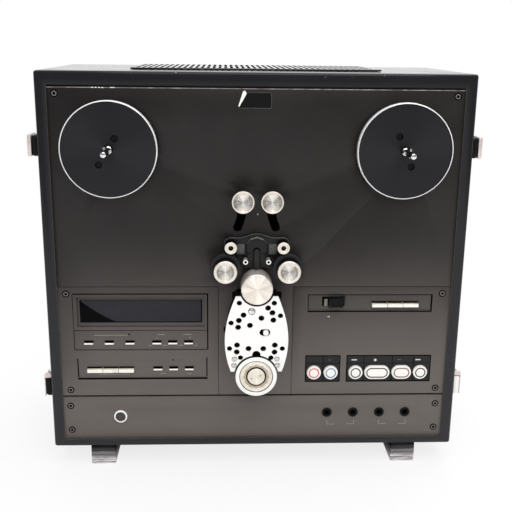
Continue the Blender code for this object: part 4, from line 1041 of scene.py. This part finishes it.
# %% Pinch rollers and arms
for side, word in SIDES:
    x, z = beside(side, (35.6, 229))
    name, pivot = "pinch_arm_" + word, beside(side, PINCH_SHAFT)
    arm = soften(sheet("pinch_casting_" + word, bar(pivot, (x, z), 6.5, 6.5), -7, -3), 0.5, 2, 40)
    weld(arm, rod("pin", 2.5, -25.7, -4, x, z, 24), rod("shaft", 3.5, -6, 14, *pivot, 32))
    done(arm, casting_black, name, [name])
    name = "pinch_roller_" + word
    steps = [(17.0, -8), (17.8, -8.8), (17.8, -19.2), (17.0, -20), (14.2, -20.2), (13.4, -19.4), (3.2, -19.4)]
    tyre = carve(turned("tyre_" + word, x, z, steps, 96), rod("bore", 2.95, -22, -6, x, z, 32))
    done(tyre, tyre_rubber, name, [name], (x, z))
    steps = [(3.0, -19.5), (12.4, -19.5), (12.9, -20), (13.1, -32.4), (12.8, -33.2), (11.6, -34.0), (10.2, -34.0)]
    steps += [(9.7, -33.5), (8.4, -33.3), (8.0, -32.5), (0.8, -32.0)]
    cap = carve(turned("pinch_cap_" + word, x, z, steps), rod("bore", 2.9, -26, -18, x, z, 32))
    coats = [(moulded_black, ring(x, z, 12, front=-32.5)), (turned_aluminium, ring(x, z, 9.7, back=-32.5))]
    coats.append((spun_shade, ring(x, z, 7.9, 9.7, back=-31)))
    done(cap, spun_cap, name, axis=(x, z), coats=coats)

# %% [markdown]
# The capstan is a wide ground steel drum driven by the motor behind it. It stands between the two pinch rollers.

# %% Capstan
steps = [(5, 49.9), (5, -5), (17.4, -5), (18, -5.6), (18, -29.6), (17.5, -30.5), (16.5, -31), (16.1, -31), (0.6, -30.9)]
drum = turned("capstan_drum", *CAPSTAN, steps, 96)
done(drum, ground_steel, "capstan", ["capstan"], CAPSTAN)

# %% [markdown]
# The head cover is a satin silver plate, waisted to clear the capstan above and the return roller below. Groups of
# round holes let a screwdriver reach the head adjustments behind, so each group mirrors the other side. One chrome
# screw and four silver ones hold it, and the head switch shows in an oblong slot. Two black brackets and a small
# stop stand behind its edge. The black carrier under it stays as the CAD model has it.

# %% Head cover
COVER = [(0.66, 1.0), (0.74, 0.92), (0.81, 0.84), (0.875, 0.76), (0.93, 0.675), (0.967, 0.59), (0.99, 0.51)]
COVER += [(1.0, 0.44), (1.0, 0.37), (0.985, 0.29), (0.95, 0.20), (0.91, 0.13), (0.86, 0.06), (0.81, 0.0)]
LARGE = [(-20.3, 171.9), (-21.1, 163.7), (17.6, 181.0), (18.8, 172.3), (-22.3, 142.2), (-22.5, 133.8), (21.0, 142.0)]
LARGE += [(20.8, 133.5), (-15.1, 178.3), (-7.7, 166.0), (12.6, 186.7), (5.2, 174.6), (-9.1, 137.9), (7.8, 137.8)]
SMALL = [(-19.9, 192.6), (19.6, 192.5), (-29.1, 168.9), (26.8, 177.4), (-30.8, 138.0), (29.6, 137.7)]
SMALL += [(-18.2, 126.8), (16.7, 126.6)]
CORNERS, CENTRE = [(-25.2, 125.3), (-25.6, 117.6), (23.7, 125.1), (24.3, 117.3)], (-5.8, 182.7)
COVER_FACE = -31


def through(radius, x, z, sides=32):
    return rod("hole", radius, -34, -26, x, z, sides)


half_cover = [(36.2 * a, 109.8 + 90.6 * b) for a, b in COVER]
cover = sheet("cover_plate", half_cover + [(-x, z) for x, z in reversed(half_cover)], COVER_FACE, -29)
cuts = [through(19.8, *CAPSTAN, 96), through(25.8, *RETURN, 96), through(4.8, 0, 130.4)]
cuts.append(sheet("slot", stadium(9.4, 157.4, 4.2, 4), -34, -26))
for radius, places in ((3.35, LARGE), (3.05, SMALL), (3.2, CORNERS), (4.15, [CENTRE])):
    cuts += [through(radius, *place) for place in places]
carve(cover, *cuts)
soften(cover, 0.25, 2, 60)
done(cover, satin_plate, stands_for=["head_cover"])


def pan_screw(x, z, radius, face):
    """A domed screw head with a cross slot."""
    steps = [(radius, face + 0.4), (radius, face - 0.3), (radius * 0.8, face - 0.7), (0.3, face - 0.8)]
    head = turned("screw", x, z, steps, 32)
    for turn in (0.5, 0.5 + math.pi / 2):
        across = box("slot", (-radius * 0.6, face - 2, -0.35), (radius * 0.6, face - 0.35, 0.35))
        carve(head, swung(across, turn, x, z))
    return head


plain = [pan_screw(*place, 2.9, COVER_FACE) for place in CORNERS]
done(gather("cover_screws", plain), nickel)
done(pan_screw(*CENTRE, 3.4, COVER_FACE), chrome).name = "cover_centre_screw"
brackets = [box("bracket", (18, -27.5, 197), (27.9, -24, 204.6))]
brackets.append(twin(brackets[0], "bracket"))
brackets.append(box("bracket", (-37.6, -28.5, 157.2), (-35.5, -22, 162.2)))
done(soften(gather("cover_brackets", brackets), 1.2, 3), black_and_painted_shade)

# %% [markdown]
# The small switch in the cover is a white round knob at the right end of its slot.

# %% Head switch
knob = turned("switch_knob", 10.5, 157.3, [(3.1, -22.3), (3.1, -32.4), (2.6, -33), (2.0, -33), (0.4, -32.8)], 40)
done(knob, satin_plate, "head_switch", ["head_switch"])

# %% [markdown]
# The return roller turns the tape back up to the capstan. Its rim is polished, a groove parts the rim from a turned
# face, and round the hub runs a ring of twelve notches with eight small holes. Two spanner holes are in the hub.

# %% Return roller
steps = [(23.4, -3), (24, -3.6), (24, -32), (23.6, -32.8), (23.2, -33), (19.9, -33), (19.4, -32.6), (19.3, -31.6)]
steps += [(18.8, -31.6), (18.6, -32.1), (14.0, -32.2), (13.7, -31.7), (11.7, -31.7), (11.6, -30.8), (10.2, -30.8)]
steps += [(10.0, -32.3), (9.6, -32.6), (0.6, -32.6)]
roller = turned("return_wheel", *RETURN, steps, 128)
cuts = [rod("bore", 5.4, -25, 0, *RETURN)]
for i in range(8):
    place = around(*RETURN, 12.4 if i % 2 else 16.3, math.radians(45 * i + 12))
    cuts.append(rod("dot", 0.6, -34, -30.5, *place, 16))
cuts += [rod("spanner_hole", 0.9, -34, -30, x, z, 16) for x, z in ((-5.7, 101.8), (5.0, 105.3))]
for i in range(12):
    cuts.append(swung(box("tooth", (13.4, -34, -1.2), (14.9, -31.8, 1.2)), math.radians(30 * i), *RETURN))
carve(roller, *cuts)
# painted shade: the two grooves are painted black
coats = [
    (satin_plate, ring(*RETURN, 19.35, back=-31)),
    (black_and_painted_shade, ring(*RETURN, 10.05, 11.66, back=-30)),
    (black_and_painted_shade, ring(*RETURN, 18.6, 19.35, back=-30)),
    (casting_black, ring(*RETURN, 23.8)),
    (tan_and_painted_shade, ring(*RETURN, 11.66, 15, -32, -30)),
]
done(roller, turned_aluminium, "return_roller", ["return_roller"], RETURN, coats=coats)

# %% [markdown]
# The keys are ivory mouldings, each a little lower than its hole, and the upper side of each is painted black as
# painted shade in the gap above it. A selector has a step along its upper edge, painted tan as painted shade, and its
# top is painted black as painted shade; the middle one on the left has four ribs, so that a finger finds it.

# %% Small keys and selectors
for name, (x, z) in KEYS.items():
    cap = soften(box("cap_" + name, (x - 5.2, 1, z - 1.5), (x + 5.2, 10, z + 0.6)), 0.4, 3)
    # painted shade: the key's upper faces are painted black
    shaded = [(black_and_painted_shade, lambda c, n: n.z > 0.5 and c.y > 1.3)]
    done(cap, key_ivory, name, [name], coats=shaded)
for side, start, z, below in (("left", -189.8, 98.6, 3.0), ("right", 145.9, 179.3, 2.5)):
    for i in range(3):
        x, name = start + 18.5 * i, "%s_selector_%d" % (side, i + 1)
        cap = box("cap_" + name, (x - 9, 0, z - below), (x + 9, 10, z + 2.5))
        carve(cap, box("shaded_step", (x - 10, -1, z + 1.2), (x + 10, 1, z + 3)))
        if name == "left_selector_2":
            ribs = [x + 2.4 + 1.7 * k for k in range(4)]
            carve(cap, *[box("rib", (left_side, -1, z - 4), (left_side + 0.6, 0.5, z + 4)) for left_side in ribs])
        soften(cap, 0.45, 3, 50)
        # painted shade: the step along the upper edge is painted tan, and the top is painted black
        coats = [
            (tan_and_painted_shade, lambda c, n: c.y < 3 and (c.z > z + 1.3 or 0.3 < c.y < 0.6 and n.y < -0.9)),
            (black_and_painted_shade, lambda c, n: n.z > 0.5 and c.y > 3),
        ]
        done(cap, key_ivory, name, [name], coats=coats)

# %% [markdown]
# The transport keys are round or oval buttons with a rounded edge. Each has an inlaid ring that follows its outline:
# red for record, blue for pause, brown for play and dark grey for the rest. The ring stands 0.05 mm proud, as a
# printed ring does.

# %% Transport keys
RING = {"record_key": ink_red, "pause_key": ink_blue, "play_key": ink_brown}
for name, (x, stretch) in TRANSPORT.items():
    key, outside, inside = [stadium(x, TRANSPORT_HEIGHT, radius, stretch) for radius in (8.5, 6.3, 4.9)]
    done(soften(sheet("cap_" + name, key, 0, 9), 1.3, 4), key_ivory, name, [name])
    inlay = carve(sheet("ring_" + name, outside, -0.05, 0.4), sheet("inside", inside, -1, 1))
    done(inlay, RING.get(name, ink_grey), name)

# %% [markdown]
# The tape speed switch is a black slider with fine finger ridges. A grey guide shows in the slot at its left, and
# the slider is hollow where it runs over the guide.

# %% Slide switch
slider = box("slider_knob", (85.4, -3, 177.5), (102.4, 10, 188.7))
carve(slider, box("guide_room", (80, 3.9, 170), (92.4, 12, 195)))
carve(slider, *[box("ridge", (88 + 2.4 * i, -4, 179.4), (88.9 + 2.4 * i, -2.3, 186.8)) for i in range(6)])
soften(slider, 0.4, 2, 50)
done(slider, moulded_black, "slide_switch", ["slide_switch"])
guide = box("slider_guide", (80.7, 4.2, 177.4), (84.6, 5.4, 185.8))
done(soften(guide, 0.2, 1), ink_faint)
stop = box("slider_stop", (100.4, -1.5, 187.5), (104.4, 3.1, 190.4))
done(soften(stop, 0.8, 3), moulded_black, "slide_switch")

# %% [markdown]
# The power button is a dished dull cap in a pale satin ring that stands a little proud of the strip. The jacks are
# black nuts with a rounded rim.

# %% Power button and jacks
bezel = turned("power_ring", *BUTTON, [(7.9, 5.6), (7.9, 1.6), (7.7, 1.1), (7.3, 0.9), (6.2, 0.9)], 64)
done(carve(bezel, rod("bore", 6.1, -3, 8, *BUTTON, 64)), satin_plate)
button = turned("button_cap", *BUTTON, [(5.7, 14), (5.7, 1.9), (5.3, 1.2), (4.5, 1.3), (1.6, 2.1), (0.4, 2.1)], 48)
# painted shade: the rim of the cap is painted black
shaded = [(black_and_painted_shade, ring(*BUTTON, 4.9))]
done(button, button_grey, "power_button", ["power_button"], coats=shaded)
steps = [(5.5, 5.8), (6.0, 3.2), (6.0, 2.5), (5.5, 2.0), (4.3, 2.0), (3.8, 2.5)]
for i, x in enumerate(JACKS):
    nut = turned("jack_%d" % (i + 1), x, JACK_HEIGHT, steps, 48)
    done(carve(nut, rod("bore", 3.3, 0, 8, x, JACK_HEIGHT, 40)), moulded_black)

# %% [markdown]
# The printing is kept to plain marks: lines, dots, a plus and a minus, an arrow and the brackets under the jacks.
# Each is a thin bar a twentieth of a millimetre proud of the paint. Worn paint along the top edge of the deck plate
# is shown the same way, as a pale strip that is also a painted highlight where the edge catches the light.


# %% Printed marks
def marks(name, material, bars, face):
    """Bars are (left, right, bottom, top)."""
    made = [box("mark", (x0, face - 0.05, z0), (x1, face + 0.2, z1)) for x0, x1, z0, z1 in bars]
    done(gather(name, made), material)


upper = [(-189.5, -150.5, 141.6, 142.0), (-115.6, -107, 142.3, 142.7), (-85, -75.2, 142.3, 142.7)]
upper += [(-126, -122.5, 128.6, 129.0), (-109.5, -104, 128.6, 129.0), (-91, -85.5, 128.6, 129.0)]
upper += [(-72.4, -68.5, 128.6, 129.0), (-78.3, -76.3, 138.2, 138.6), (-77.5, -77.1, 137.4, 139.4)]
upper += [(-117.1, -115.1, 138.2, 138.6)]
marks("option_marks", ink_cream, upper, 3.8)
lower = [(-113.7, -106.4, 92.5, 92.9), (-82, -75.8, 92.5, 92.9), (-185, -149, 91.9, 92.2)]
marks("timer_marks", ink_cream, lower, 4.2)
brackets = []
for x in (88.4, 152.0):
    brackets += [(x, x + 0.4, 25.3, 31), (x, x + 9, 25.3, 25.7), (x + 33.1, x + 33.5, 25.3, 31)]
    brackets.append((x + 24.5, x + 33.1, 25.3, 25.7))
marks("jack_marks", ink_cream, brackets, FACE)
# worn paint along the top edge, drawn as a pale strip that is also a painted highlight
marks("worn_edge_and_highlight", bare_edge_and_highlight, [(-228.8, 228.8, 426.8, 427.7)], FACE)
chips = [(-180.5 + 3.6 * i, -178.6 + 3.6 * i, 426.7, 427.8) for i in range(4)] + [(-160.5, -155.5, 426.8, 427.8)]
marks("worn_chips", satin_plate, chips, FACE - 0.05)
arrow = sheet("speed_arrow", [(83.8, 164.6), (87.6, 166.0), (87.6, 163.2)], 2.95, 3.2)
done(arrow, ink_cream)
dots = [turned("dot", x, 106.1, [(1.2, 3.6), (1.2, 3.25)], 24) for x in (-187.6, -169.4, -150.6)]
done(gather("selector_dots", dots), dim_grey_and_highlight)

# %% [markdown]
# The indicator lamps are flat windows in the key plates, two pale bars and a diamond and two dim bars, and two sunk
# black lenses over the small keys.


# %% Indicator lamps
def lamp_bar(left_side, right_side, bottom, top):
    return box("lamp", (left_side, 2.95, bottom), (right_side, 3.3, top))


lamps = [lamp_bar(115.8, 122.3, 109, 110.4), lamp_bar(193.0, 199.2, 108.9, 110.3)]
lamps.append(sheet("lamp", [(142.3, 109.4), (144.4, 111.3), (146.5, 109.4), (144.4, 107.5)], 2.95, 3.3))
done(gather("motion_lamps", lamps), lamp_pale)
lamps = [lamp_bar(171, 175.4, 109.2, 110.2), lamp_bar(88.2, 90.8, 109.2, 110.2)]
done(gather("dim_lamps", lamps), dim_grey_and_highlight)
lamps = [turned("lamp", x, z, [(1.0, 5.2), (1.0, 4.2), (0.6, 3.9)], 20) for x, z in ((-148.5, 143), (-97.1, 110.3))]
done(gather("key_lamps", lamps), black_and_painted_shade)

# %% [markdown]
# A blank black label is stuck near the top of the deck plate, and its left edge has torn to white. Below the tension
# arms a small bright pin marks the middle of the tape path.

# %% Label and pin
outline = [(14.8, 406.7), (14.6, 422.9), (-12.6, 422.9), (-19.8, 408.5), (-19.6, 406.5)]
done(sheet("blank_label", outline, 2.85, 3.1), moulded_black)
edges = [(14.6, 15.1, 406.3, 423.2), (-19.6, 15.1, 406.2, 406.7), (-12, 15.1, 422.8, 423.2)]
marks("label_edge", grey_and_painted_light, edges, FACE - 0.1)
torn = [(-12.4, 422.1), (-14.2, 425.2), (-16.4, 424.6), (-21.5, 408.7), (-20.6, 407.6)]
done(sheet("torn_edge", torn, 2.8, 3.05), satin_plate)
pin = turned("centre_pin", 1.2, 287.7, [(0.9, 3.4), (0.9, 2.7), (0.5, 2.5)], 20)
done(pin, rolled_steel)

# %% [markdown]
# What stays hidden inside the case is the CAD model's own: the motors, the transformer, the board, the inlet and the
# head carrier. They only get the right materials.

# %% Pieces kept from the CAD model
KEPT = dict.fromkeys(("reel_motor_left", "reel_motor_right", "capstan_motor", "power_transformer"), rolled_steel)
KEPT.update(circuit_board=board_epoxy, mains_inlet=moulded_black, head_carrier=black_and_painted_shade)
for name, material in KEPT.items():
    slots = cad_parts[name].data.materials
    for i in range(len(slots)):
        slots[i] = material
print(len(KEPT), "pieces kept")
